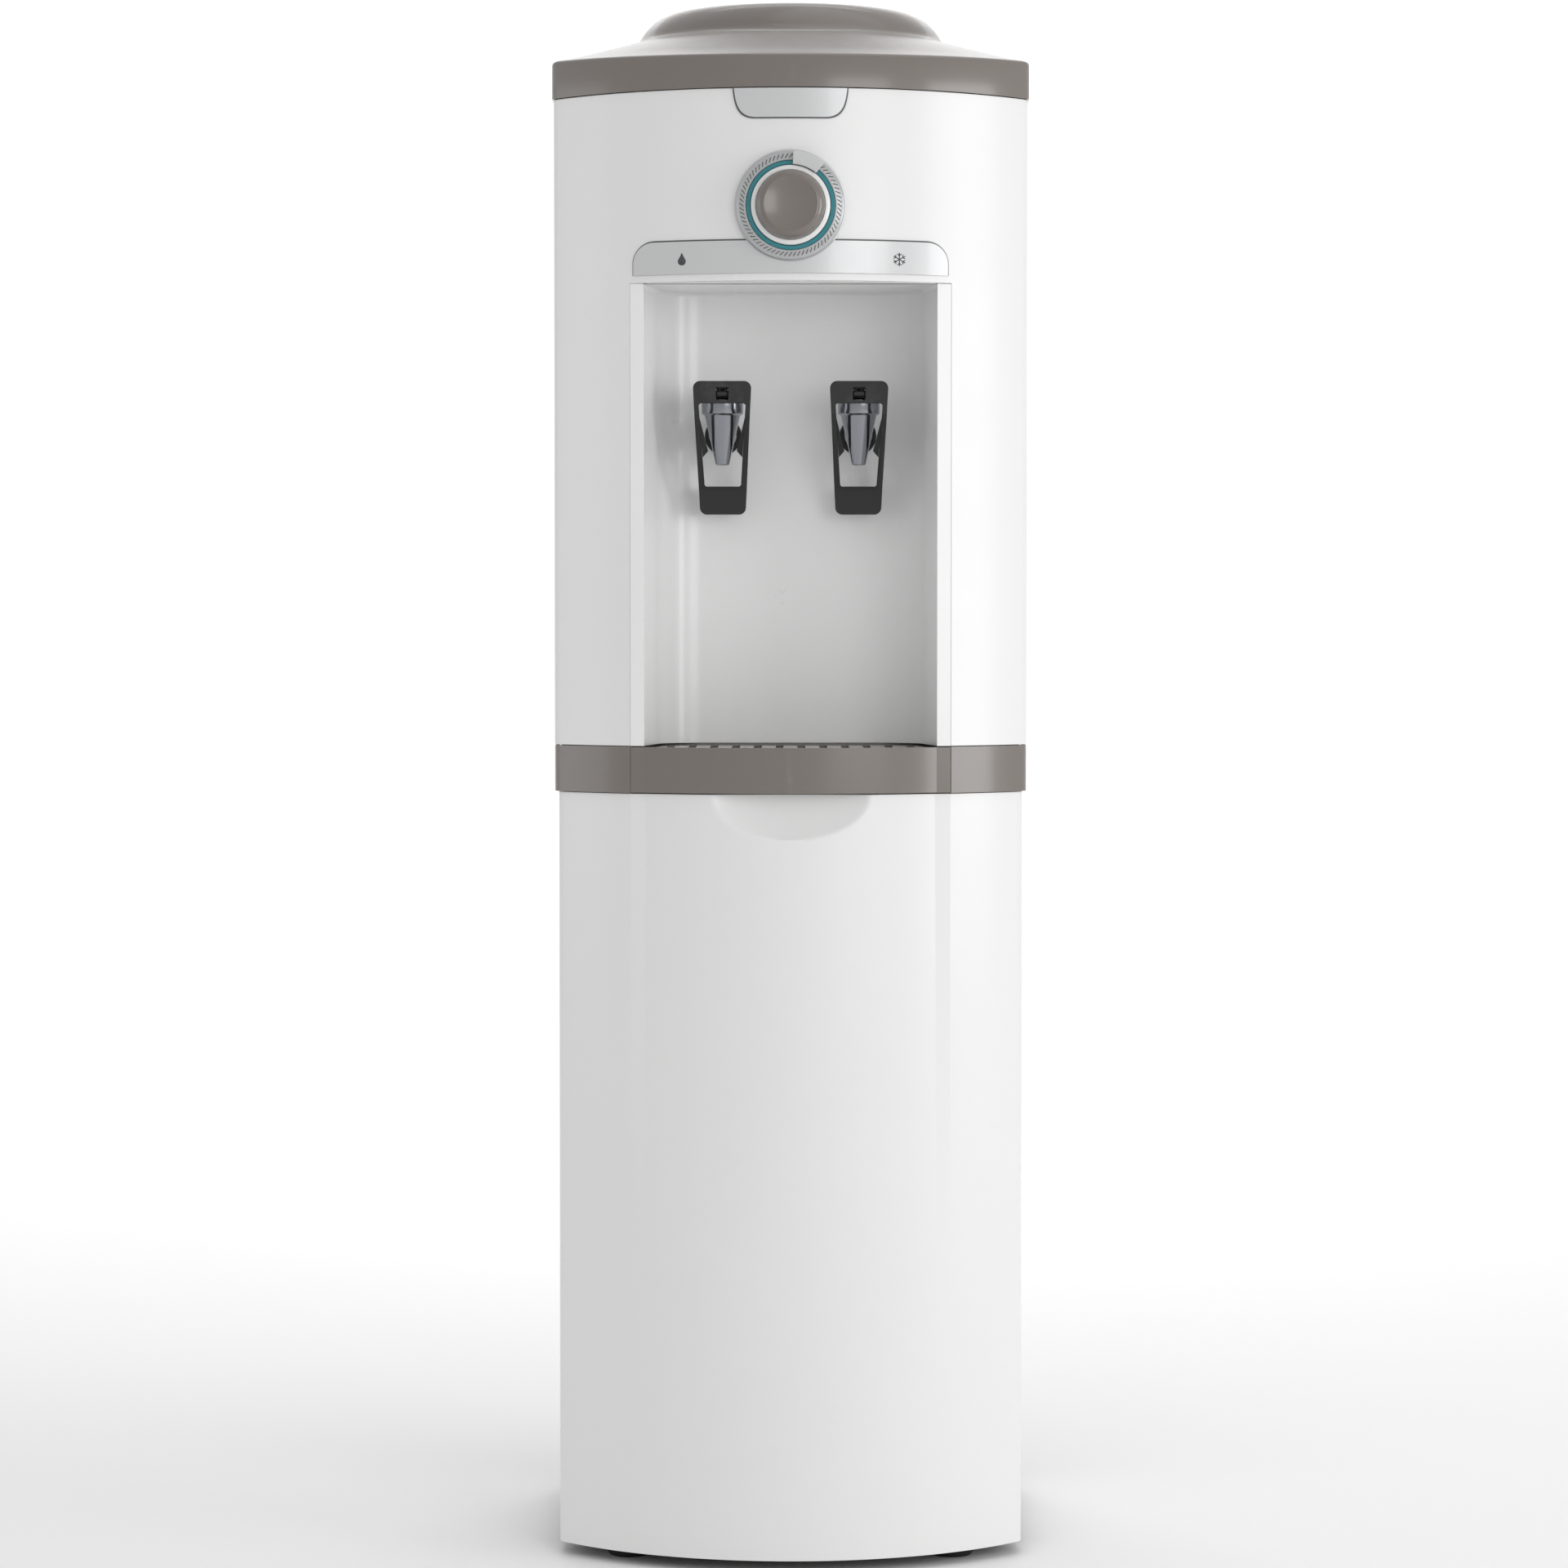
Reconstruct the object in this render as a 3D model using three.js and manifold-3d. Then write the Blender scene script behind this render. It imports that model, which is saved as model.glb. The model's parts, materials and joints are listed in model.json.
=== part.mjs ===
// A floor-standing water dispenser with a bottle on top, two lever taps in a niche and a cooled tank.
// Millimetres, +Z up, front towards -Y. The origin is on the floor, in the middle of the footprint.

import * as THREE from "three";
import { mergeVertices } from "three/addons/utils/BufferGeometryUtils.js";
import Module from "manifold-3d";

// ---------------------------------------------------------------- driving dimensions

const GAP = 0.3; // air between touching pieces
const WALL = 3; // moulded front panels

const HEIGHT = 1000; // floor to the rim that carries the bottle
const KNOB_FACE = -168; // the foremost point, the face of the knob
const CONDENSER_BACK = 168; // the rearmost point, the wires of the condenser
const FRONT = -150; // foremost point of the upper front panel
const REAR = 152; // outer face of the rear panel
const SIDE = 148.9; // outer face of the side panels
const SHEET = 1.2; // thickness of the side and rear sheets
const SIDE_START = -54.5; // front edge of the side panels

const BOW = 205; // radius of the bowed front
const CORNER = 12; // radius between the bowed front and the sides
const BOW_STEPS = 14;
const CORNER_STEPS = 3;

// The three bodies of the front, from floor to lid: outline sizes and heights.
const LOWER = { half: 149.4, front: -147.8, back: -55, low: 8, high: 494 };
const BELT = { half: 152, front: -150.2, back: -55, low: 494.4, high: 524 };
const UPPER = { half: 152.1, front: FRONT, back: -55, low: 524.4, high: 937.6 };
const LID = { half: 153.2, front: -151.4, low: 938, skirt: 959, corner: 14, back: 154 };

// The central field, which carries the niche, the tray and a shallow relief in the lower panel.
const FIELD_HALF = 102;
const FIELD_FLAT = 93; // between the slanted edges
const RELIEF = 2.5; // depth of the field below the pillars
const RELIEF_END = 200; // height where the relief has faded out

const NICHE = { high: 817.3, back: -44, corner: 30, narrow: 86 };
const SCOOP = { half: 52, high: 29, deep: 12 }; // finger recess under the tray

const TRAY = { floor: 497.8, rim: 520, margin: 2.5, wall: 2.2, face: 2.4 };
const GRILLE = { low: 520.3, high: 523, slots: 12, slot: 5, pitch: 14, front: -118, border: 5 };

const FASCIA = { half: 99.6, low: 820.4, high: 841.8, corner: 14 };
const DIAL_Z = 863.8; // height of the thermostat dial
const BEZEL_R = 34;
const POINTER = { from: (51 * Math.PI) / 180, to: (87 * Math.PI) / 180 };
const SKIRT_R = 24.9;
const CAP_R = 21.6;

const TAP_X = 43.8; // half the distance between the taps
const TAP_INLET_Z = 724; // height of the tap's threaded tail
const SPOUT_Y = -36; // spout axis, in front of the niche wall
const SPOUT_TIP = -20; // heights below are measured from the tail's axis
const VALVE_SEAT = -4.5;
const COLLAR_LOW = 12.5;
const BODY_TOP = 22;
const BONNET_TOP = 27.5;
const PIVOT = { y: SPOUT_Y - 15.5, z: 25, r: 1.2 };
const LEVER = { top: 33, low: -51.4, windowTop: 18.8, windowLow: -33.4 };

const TANK = { y: 48, r: 66, low: 761, high: 921, wall: 2 };
const COIL = { r: 72, tube: 3, low: 778, pitch: 15, turns: 5 };
const INSULATION = { inner: 77, outer: 88, low: 741, high: 932 };
const WELL = { x: 34, y: 70 }; // where the thermostat's bulb enters the tank
const OVERFLOW = { x: -52, y: 60 }; // where the room-temperature hose leaves the tank's lid

const COLLAR = { base: 101, top: 80, hole: 66, ledge: 60.5, ledgeTop: 992 };
const BOWL = { rim: 59, low: 936, foot: 40, wall: 2 };
const SPIKE_R = 9;

const COMPRESSOR = { x: -20, y: 78, low: 36, high: 158, r: 52, stretch: 1.3 };
const MOUNTING = { x: 82, y: 44 }; // half spacing of the compressor's rubber mounts
const PAN = { low: 14, high: 18 };
const GLAND = { x: 141, z: 60, r: 4.2 }; // the mains lead's entry, in the lip of the right side panel

const CONDENSER = { y: CONDENSER_BACK - 3.5, tube: 2.4, wire: 0.8, half: 118 };
const CONDENSER_ROWS = { low: 270, pitch: 44, count: 11 };
const CONDENSER_WIRES = 7;

// ---------------------------------------------------------------- materials

function finish(color, roughness, metalness = 0) {
  return new THREE.MeshStandardMaterial({ color, roughness, metalness });
}

const WHITE = finish(0xf1f1f0, 0.25);
const NICHE_WHITE = finish(0xeaeae9, 0.3);
const WHITE_SHEET = finish(0xeeeeec, 0.35);
const TAUPE = finish(0x8a827b, 0.35);
const SILVER = finish(0xc9cacc, 0.3, 0.8);
const CHROME = finish(0xd8dadd, 0.12, 1);
const BLACK = finish(0x262728, 0.4);
const RUBBER = finish(0x1c1c1c, 0.8);
const GALVANISED = finish(0xb4b7b9, 0.45, 0.9);
const BLACK_STEEL = finish(0x1d1e20, 0.5, 0.3);
const COPPER = finish(0xb87348, 0.3, 1);
const STAINLESS = finish(0xb9bcbf, 0.3, 1);
const FOAM = finish(0xf4f4f0, 0.9);
const NATURAL_PLASTIC = finish(0xe6ebee, 0.3);
const SPRING_STEEL = finish(0xa9acae, 0.3, 1);

// ---------------------------------------------------------------- solids

const wasm = await Module();
wasm.setup();

function toSolid(geometry) {
  const bare = geometry.index ? geometry.toNonIndexed() : geometry.clone();
  bare.deleteAttribute("normal");
  bare.deleteAttribute("uv");
  const merged = mergeVertices(bare, 1e-3);
  const vertProperties = new Float32Array(merged.attributes.position.array);
  const triVerts = new Uint32Array(merged.index.array);
  return new wasm.Manifold(new wasm.Mesh({ numProp: 3, vertProperties, triVerts }));
}

function toGeometry(solid) {
  const { vertProperties, triVerts } = solid.getMesh();
  const geometry = new THREE.BufferGeometry();
  geometry.setAttribute("position", new THREE.BufferAttribute(vertProperties, 3));
  geometry.setIndex(new THREE.BufferAttribute(triVerts, 1));
  geometry.computeVertexNormals();
  return geometry;
}

const join = (first, ...others) => others.reduce((sum, other) => sum.add(other), first);
const cut = (first, ...others) => others.reduce((rest, other) => rest.subtract(other), first);

function piece(name, shape, material) {
  const geometry = shape.isBufferGeometry ? shape : toGeometry(shape);
  const mesh = new THREE.Mesh(geometry, material);
  mesh.name = name;
  return mesh;
}

// A block between two opposite corners.
function block([x0, y0, z0], [x1, y1, z1]) {
  const geometry = new THREE.BoxGeometry(x1 - x0, y1 - y0, z1 - z0);
  return toSolid(geometry.translate((x0 + x1) / 2, (y0 + y1) / 2, (z0 + z1) / 2));
}

// An outline in plan, raised from one height to another.
function prism(points, low, high) {
  const shape = new THREE.Shape(points);
  const geometry = new THREE.ExtrudeGeometry(shape, { depth: high - low, bevelEnabled: false });
  return toSolid(geometry.translate(0, 0, low));
}

// An outline in front view, with x across and z up, that runs from y0 back to y1.
function frontPrism(shape, y0, y1, curveSegments = 6) {
  const options = { depth: y1 - y0, bevelEnabled: false, curveSegments };
  const geometry = new THREE.ExtrudeGeometry(shape, options);
  return toSolid(geometry.rotateX(Math.PI / 2).translate(0, y1, 0));
}

// A turned piece on the vertical axis: the profile is a closed loop of [radius, height].
function turned(profile, segments = 18) {
  const points = profile.map(([r, z]) => new THREE.Vector2(r, z));
  points.push(points[0].clone());
  const geometry = new THREE.LatheGeometry(points, segments);
  const solid = toSolid(geometry.rotateX(Math.PI / 2));
  return solid.volume() < 0 ? toSolid(flipped(geometry)) : solid;
}

// The same surface with its faces turned round.
function flipped(geometry) {
  const index = geometry.index.array;
  for (let i = 0; i < index.length; i += 3) {
    [index[i + 1], index[i + 2]] = [index[i + 2], index[i + 1]];
  }
  return geometry;
}

const rod = (r, low, high, segments = 16) =>
  turned([[0, low], [r, low], [r, high], [0, high]], segments);

const ring = (inner, outer, low, high, segments = 18) =>
  turned([[inner, low], [outer, low], [outer, high], [inner, high]], segments);

// A turned piece laid along Y: its own height 0 is at y, and it grows towards the back.
const alongY = (solid, x, y, z) => solid.rotate([-90, 0, 0]).translate([x, y, z]);

// A round tube along a curve.
function tube(curve, r, steps, sides = 8) {
  const section = new THREE.Shape();
  section.absarc(0, 0, r, 0, 2 * Math.PI, false);
  const options = { steps, extrudePath: curve, curveSegments: sides / 2 };
  return toSolid(new THREE.ExtrudeGeometry(section, options));
}

const route = (points, tension = 0.5) =>
  new THREE.CatmullRomCurve3(points.map((p) => new THREE.Vector3(...p)), false, "catmullrom", tension);

// ---------------------------------------------------------------- outlines of the bowed front

// Points along the bowed front from the left end to the right end, set in from the surface.
// A limit keeps only the stretch between -limit and +limit.
function bowLine(body, inset = 0, limit = Infinity, steps = BOW_STEPS) {
  const bow = BOW - inset;
  const corner = CORNER - inset;
  const half = body.half - inset;
  const centreY = body.front + BOW;
  const cornerX = half - corner;
  const cornerY = centreY - Math.sqrt((bow - corner) ** 2 - cornerX ** 2);
  const full = Math.atan2(cornerX, centreY - cornerY);
  const turn = Math.min(full, Math.asin(Math.min(1, limit / bow)));
  const middle = [];
  for (let i = 0; i <= steps; i++) {
    const a = turn * ((2 * i) / steps - 1);
    middle.push(new THREE.Vector2(bow * Math.sin(a), centreY - bow * Math.cos(a)));
  }
  if (turn < full) return middle;
  const right = [];
  for (let i = 1; i <= CORNER_STEPS; i++) {
    const a = full + ((Math.PI / 2 - full) * i) / CORNER_STEPS;
    right.push(new THREE.Vector2(cornerX + corner * Math.sin(a), cornerY - corner * Math.cos(a)));
  }
  right.push(new THREE.Vector2(half, body.back));
  const left = right.map((p) => new THREE.Vector2(-p.x, p.y)).reverse();
  return [...left, ...middle, ...right];
}

// A wall of even thickness behind the bowed front.
function bowWall(body, from, to, low, high, limit) {
  const outline = [...bowLine(body, from, limit), ...bowLine(body, to, limit).reverse()];
  return prism(outline, low, high);
}

// Plan of the central field: the bowed front sunk by the relief, with slanted ends.
function fieldLine(body, sink, steps = 10) {
  const middle = bowLine(body, sink, FIELD_FLAT, steps);
  const end = bowLine(body, 0, FIELD_HALF - GAP, steps);
  return [end[0], ...middle, end[end.length - 1]];
}

// ---------------------------------------------------------------- cabinet

function lowerFrontPanel() {
  const { low, high, front } = LOWER;
  const shell = bowWall(LOWER, 0, WALL + 1, low, high);
  const reliefOutline = [
    ...fieldLine(LOWER, RELIEF),
    new THREE.Vector2(FIELD_HALF, front - 40),
    new THREE.Vector2(-FIELD_HALF, front - 40),
  ];
  const shape = new THREE.Shape(reliefOutline);
  const depth = high - RELIEF_END + 1;
  const relief = new THREE.ExtrudeGeometry(shape, { depth, bevelEnabled: false });
  relief.translate(0, 0, RELIEF_END);
  // The cutter leans out of the panel towards the floor, so the relief fades out.
  const lean = new THREE.Matrix4().set(1, 0, 0, 0, 0, 1, RELIEF / depth, 0, 0, 0, 1, 0, 0, 0, 0, 1);
  relief.applyMatrix4(lean).translate(0, (-RELIEF * (depth + RELIEF_END)) / depth, 0);
  const hollow = scoopSolid(0);
  const backing = cut(
    scoopSolid(WALL),
    prism([...bowLine(LOWER, 1), new THREE.Vector2(200, -250), new THREE.Vector2(-200, -250)], low, high),
    block([-200, -200, high], [200, 200, high + 60]),
  );
  return cut(join(shell, backing), toSolid(relief), hollow);
}

// The finger recess under the tray, grown all round by a margin.
function scoopSolid(margin) {
  const ball = new THREE.SphereGeometry(1, 24, 12);
  ball.scale(SCOOP.half + margin, SCOOP.deep + margin, SCOOP.high + margin);
  return toSolid(ball.translate(0, LOWER.front + 1, LOWER.high));
}

function upperFrontPanel() {
  const { low, high } = UPPER;
  const shell = bowWall(UPPER, 0, WALL, low, high);
  const window = block([-FIELD_HALF, -200, low - 1], [FIELD_HALF, -40, NICHE.high]);
  const dialHole = alongY(rod(BEZEL_R + GAP, 0, 60, 32), 0, -200, DIAL_Z);
  return cut(shell, window, dialHole);
}

// Plan of the niche: side walls that draw in towards a flat back with round corners.
function nichePlan(inset) {
  const { back, corner, narrow } = NICHE;
  const r = corner - inset;
  const points = [new THREE.Vector2(FIELD_FLAT - inset, -122)];
  const steps = 5;
  for (let i = 0; i <= steps; i++) {
    const a = (Math.PI / 2) * (i / steps);
    const x = narrow - corner + r * Math.cos(a);
    points.push(new THREE.Vector2(x, back - corner + r * Math.sin(a)));
  }
  return [...points, ...points.map((p) => new THREE.Vector2(-p.x, p.y)).reverse()];
}

function nicheLiner() {
  const low = BELT.high + 0.4;
  const { high } = NICHE;
  const mouth = [new THREE.Vector2(-FIELD_FLAT, -200), new THREE.Vector2(FIELD_FLAT, -200)];
  const outside = [...nichePlan(-WALL).slice(1, -1), ...flange(-1), ...flange(1)];
  const walls = cut(
    prism(outside, low, high + 2.6),
    prism([...nichePlan(0), ...mouth], low - 1, high - 0.4),
  );
  // Between the pillars the liner comes forward to the slanted edges of the field.
  const behindPanel = prism(frontOf(UPPER, WALL + GAP), low - 1, high + 10);
  const window = block([-FIELD_HALF, -250, low - 2], [FIELD_HALF, 0, high - 1]);
  const ends = [new THREE.Vector2(FIELD_HALF, -220), new THREE.Vector2(-FIELD_HALF, -220)];
  const ahead = prism([...fieldLine(UPPER, RELIEF), ...ends], low - 1, high + 10);
  const side = FIELD_HALF - GAP;
  const gaps = cut(window, block([-side, -250, low - 3], [side, 0, high]));
  const holes = [-1, 1].map((way) => alongY(rod(10.4, 0, 40), way * TAP_X, NICHE.back - 20, TAP_INLET_Z));
  return cut(walls, cut(behindPanel, window), ahead, gaps.intersect(behindPanel), ...holes);
}

// The two front ends of the niche's outer plan, where its side walls widen behind the panel.
function flange(side) {
  const wide = side * (FIELD_HALF + WALL);
  const ends = [new THREE.Vector2(wide, -118), new THREE.Vector2(wide, -147)];
  return side < 0 ? ends : ends.reverse();
}

// Everything in front of the bowed surface, set in by a margin.
function frontOf(body, inset) {
  const line = bowLine({ ...body, back: 0 }, inset);
  const ends = [[250, 0], [250, -250], [-250, -250], [-250, 0]];
  return [...line, ...ends.map(([x, y]) => new THREE.Vector2(x, y))];
}

function waistBand() {
  const { low, high } = BELT;
  const shelfTop = low + 2.8;
  const belt = cut(
    bowWall(BELT, 0, WALL, low, high),
    block([-FIELD_HALF, -200, low - 1], [FIELD_HALF, -60, high + 1]),
  );
  const inner = FIELD_HALF - 1.6;
  const outer = FIELD_HALF + 2;
  const bay = block([-outer, -132, low + GAP], [outer, NICHE.back + 2, high]);
  const space = block([-inner, -200, shelfTop], [inner, NICHE.back - 0.5, high + 1]);
  const ahead = prism(frontOf(BELT, 1), low - 1, high + 1);
  const faceRoom = prism(frontOf(BELT, RELIEF + 3), low - 1, high + 1);
  const between = block([-FIELD_HALF, -200, low - 1], [FIELD_HALF, 0, high + 1]);
  return join(belt, cut(bay, space, ahead, faceRoom.intersect(between)));
}

function sidePanel(side) {
  const inner = SIDE - SHEET;
  const lip = SIDE - 15;
  const back = REAR - SHEET - GAP;
  const outline = [
    [SIDE, SIDE_START],
    [SIDE, back],
    [lip, back],
    [lip, back - SHEET],
    [inner, back - SHEET],
    [inner, SIDE_START],
  ].map(([x, y]) => new THREE.Vector2(side * x, y));
  const panel = prism(outline, PAN.high + GAP, UPPER.high);
  return side > 0 ? cut(panel, alongY(rod(GLAND.r + GAP, 0, 10, 12), GLAND.x, back - 5, GLAND.z)) : panel;
}

function rearPanel() {
  const plate = block([-146, REAR - SHEET, 236], [146, REAR, 934]);
  const slots = [];
  for (let i = 0; i < 5; i++) {
    const z = 800 + i * 22;
    slots.push(block([-70, REAR - 5, z], [70, REAR + 5, z + 7]));
  }
  return cut(plate, ...slots);
}

function basePan() {
  const outline = (inset) => bowLine({ ...LOWER, back: REAR - SHEET - 3 }, inset);
  const plate = prism(outline(WALL + 1.4), PAN.low, PAN.high);
  const rim = cut(
    prism(outline(WALL + 1.4), PAN.low, PAN.high + 14),
    prism(outline(WALL + 3.4), PAN.low - 1, PAN.high + 15),
    block([-200, -54.8, PAN.low - 1], [200, 200, PAN.high + 20]),
  );
  const bolt = rod(4, PAN.high - 1, PAN.high + 10, 12);
  const bolts = mountingPoints().map(([x, y]) => bolt.translate([x, y, 0]));
  return join(plate, rim, ...bolts);
}

const FEET = [
  ["front_left", -104, -84],
  ["front_right", 104, -84],
  ["rear_left", -126, 124],
  ["rear_right", 126, 124],
];

const foot = () => turned([[0, 0], [13, 0], [15, 2], [16, PAN.low - GAP], [0, PAN.low - GAP]], 20);

// Rings of the lid, each a share of the way from the bottle collar to the outline, and a height.
function topCover() {
  const outline = lidOutline();
  const turns = outline.map((p) => Math.atan2(p.y, p.x));
  const round = (r, z) => turns.map((a) => new THREE.Vector3(r * Math.cos(a), r * Math.sin(a), z));
  const between = (share, z, inset = 0) =>
    outline.map((p, i) => {
      const reach = p.length() - inset;
      const r = COLLAR.base + (reach - COLLAR.base) * share;
      return new THREE.Vector3(r * Math.cos(turns[i]), r * Math.sin(turns[i]), z);
    });
  const rings = [
    between(1, LID.low),
    between(1, LID.skirt - 2),
    between(0.97, LID.skirt + 1),
    between(0.5, 970),
    between(0.08, 979.5),
    round(98, 987),
    round(93, 993),
    round(87.5, 997.5),
    round(COLLAR.top, HEIGHT),
    round(COLLAR.hole, HEIGHT),
    round(COLLAR.hole, COLLAR.ledgeTop),
    round(COLLAR.ledge, COLLAR.ledgeTop),
    round(COLLAR.ledge, COLLAR.ledgeTop - 2.5),
    round(COLLAR.hole + 3, COLLAR.ledgeTop - 2.5),
    round(72, 996.8),
    round(86, 994),
    round(95, 982),
    between(0.5, 966.6, 2),
    between(0.96, 956.5, WALL),
    between(1, LID.low, WALL),
  ];
  return loft(rings);
}

// Plan of the lid: bowed front, straight sides, round rear corners.
function lidOutline() {
  const front = bowLine({ half: LID.half, front: LID.front, back: -40 }, 0, Infinity, 8);
  const cornerX = LID.half - LID.corner;
  const cornerY = LID.back - LID.corner;
  const right = [];
  for (let i = 0; i <= 2; i++) {
    const a = (Math.PI / 2) * (i / 2);
    right.push(new THREE.Vector2(cornerX + LID.corner * Math.cos(a), cornerY + LID.corner * Math.sin(a)));
  }
  const side = [0, 50, 100].map((y) => new THREE.Vector2(LID.half, y));
  const rear = [100, 65, 30, 0].map((x) => new THREE.Vector2(x, LID.back));
  const mirrored = (list) => list.map((p) => new THREE.Vector2(-p.x, p.y)).reverse();
  const rightHalf = [...side, ...right, ...rear];
  return [...front, ...rightHalf, ...mirrored(rightHalf).slice(1)];
}

// A closed skin through rings of equal length. The last ring joins the first.
function loft(rings) {
  const count = rings[0].length;
  const positions = rings.flat().flatMap((p) => [p.x, p.y, p.z]);
  const index = [];
  rings.forEach((_, i) => {
    const next = (i + 1) % rings.length;
    for (let j = 0; j < count; j++) {
      const k = (j + 1) % count;
      const [a, b, c, d] = [i * count + j, i * count + k, next * count + k, next * count + j];
      index.push(a, b, c, a, c, d);
    }
  });
  const geometry = new THREE.BufferGeometry();
  geometry.setAttribute("position", new THREE.Float32BufferAttribute(positions, 3));
  geometry.setIndex(index);
  return toSolid(geometry);
}

// The part of a thin bowed skin in front of the upper panel that lies inside a front-view outline.
function appliedPlate(shape, thickness, curveSegments) {
  const skin = bowWall(UPPER, -GAP - thickness, -GAP, UPPER.low, UPPER.high + 0.1, 110);
  return skin.intersect(frontPrism(shape, -180, -100, curveSegments));
}

function badgePlate() {
  const { high } = UPPER;
  const shape = new THREE.Shape();
  shape.moveTo(-36.4, high);
  shape.bezierCurveTo(-36.4, high - 16, -31, high - 20.5, -22, high - 20.5);
  shape.lineTo(22, high - 20.5);
  shape.bezierCurveTo(31, high - 20.5, 36.4, high - 16, 36.4, high);
  return appliedPlate(shape, 1.2, 5);
}

function fasciaPlate() {
  const { half, low, high, corner: r } = FASCIA;
  const shape = new THREE.Shape();
  shape.moveTo(-half, low);
  shape.lineTo(half, low);
  shape.lineTo(half, high - r);
  shape.absarc(half - r, high - r, r, 0, Math.PI / 2, false);
  shape.lineTo(-half + r, high);
  shape.absarc(-half + r, high - r, r, Math.PI / 2, Math.PI, false);
  const hole = alongY(rod(BEZEL_R + 0.6, 0, 60, 32), 0, -200, DIAL_Z);
  return cut(appliedPlate(shape, 1.2, 5), hole);
}

// ---------------------------------------------------------------- tray

// A block of the tray's plan, which follows the niche walls and the bowed front with a little room.
function trayBlock(inset, low, high) {
  const margin = TRAY.margin + inset;
  const half = FIELD_FLAT - margin;
  const mouth = [new THREE.Vector2(-half, -200), new THREE.Vector2(half, -200)];
  const ahead = prism(frontOf(BELT, RELIEF + TRAY.face + inset), low - 1, high + 1);
  return cut(prism([...nichePlan(margin), ...mouth], low, high), ahead);
}

function dripTray() {
  const { floor, rim, wall, face } = TRAY;
  const basin = cut(trayBlock(0, floor, rim), trayBlock(wall, floor + wall, rim + 1));
  const behind = bowLine(BELT, RELIEF + face + 0.2, FIELD_HALF - GAP, 10).reverse();
  const front = prism([...fieldLine(BELT, RELIEF), ...behind], BELT.low + GAP, BELT.high - GAP);
  return join(basin, front);
}

function dripGrille() {
  const { low, high, slots, slot, pitch, front, border } = GRILLE;
  const field = trayBlock(border, low - 1, high + 1);
  const openings = [];
  for (let i = 0; i < slots; i++) {
    const x = (i - (slots - 1) / 2) * pitch;
    const strip = block([x - slot / 2, front, low - 1], [x + slot / 2, NICHE.back, high + 1]);
    openings.push(strip.intersect(field));
  }
  return cut(trayBlock(0.5, low, high), ...openings);
}

// ---------------------------------------------------------------- thermostat and dial

// The dial's own frame: its axis points out of the front, and its 0 is the panel's surface.
function dial() {
  const face = FRONT - KNOB_FACE;
  const bezelRim = [[BEZEL_R, 3.4], [32.6, 4.8], [28.4, 5.2], [27.8, 3.4], [25.4, 3.4], [25.4, 0.6]];
  const bezel = turned([[4, -2.6], [BEZEL_R, -2.6], ...bezelRim, [4, 0.6]], 24);
  const skirtRim = [[SKIRT_R, 6.4], [23.9, 7.4], [CAP_R + 0.4, 8.4], [CAP_R + 0.4, 6.8]];
  const skirt = turned([[3.4, 1], [SKIRT_R, 1], ...skirtRim, [3.4, 6.8]], 24);
  const cap = turned([[0, 7.1], [CAP_R, 7.1], [CAP_R, 13], [19.6, 16.8], [17, face], [0, face]], 24);
  const shaft = rod(3, -5, 6.8, 12);
  const wedge = new THREE.Shape();
  wedge.absarc(0, 0, BEZEL_R - 0.3, POINTER.from, POINTER.to, false);
  wedge.absarc(0, 0, SKIRT_R + GAP, POINTER.to, POINTER.from, true);
  const wedgeOptions = { depth: 3, bevelEnabled: false, curveSegments: 6 };
  const pointer = toSolid(new THREE.ExtrudeGeometry(wedge, wedgeOptions).translate(0, 0, 5.6));
  const meshes = [
    piece("knob_pointer", pointer, SILVER),
    piece("dial_bezel", bezel, SILVER),
    piece("knob_skirt", skirt, WHITE),
    piece("knob_cap", cap, TAUPE),
    piece("thermostat_shaft", shaft, STAINLESS),
  ];
  const group = new THREE.Group();
  group.add(...meshes);
  group.rotation.x = Math.PI / 2;
  group.position.set(0, FRONT, DIAL_Z);
  return group;
}

// The thermostat's case, with the capillary and bulb brazed to it.
function thermostat() {
  const back = FRONT + 40;
  const shell = block([-21, FRONT + 5.6, DIAL_Z - 15], [21, back, DIAL_Z + 15]);
  const nose = alongY(rod(3.6, 0, 4, 12), 0, FRONT + 2.9, DIAL_Z);
  const bore = alongY(rod(3.3, 0, 4, 12), 0, FRONT + 2, DIAL_Z);
  const capillary = route([
    [12, back - 2, DIAL_Z + 8],
    [14, back + 14, DIAL_Z + 12],
    [60, back + 24, DIAL_Z + 20],
    [88, -30, 911],
    [80, 20, 940],
    [52, 60, 944],
    [38, WELL.y, 940],
    [WELL.x, WELL.y, 928],
    [WELL.x, WELL.y, 906],
  ]);
  const bulb = rod(3, 856, 908, 10).translate([WELL.x, WELL.y, 0]);
  return join(shell, cut(nose, bore), tube(capillary, 1.2, 34, 5), bulb);
}

// ---------------------------------------------------------------- taps

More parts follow.
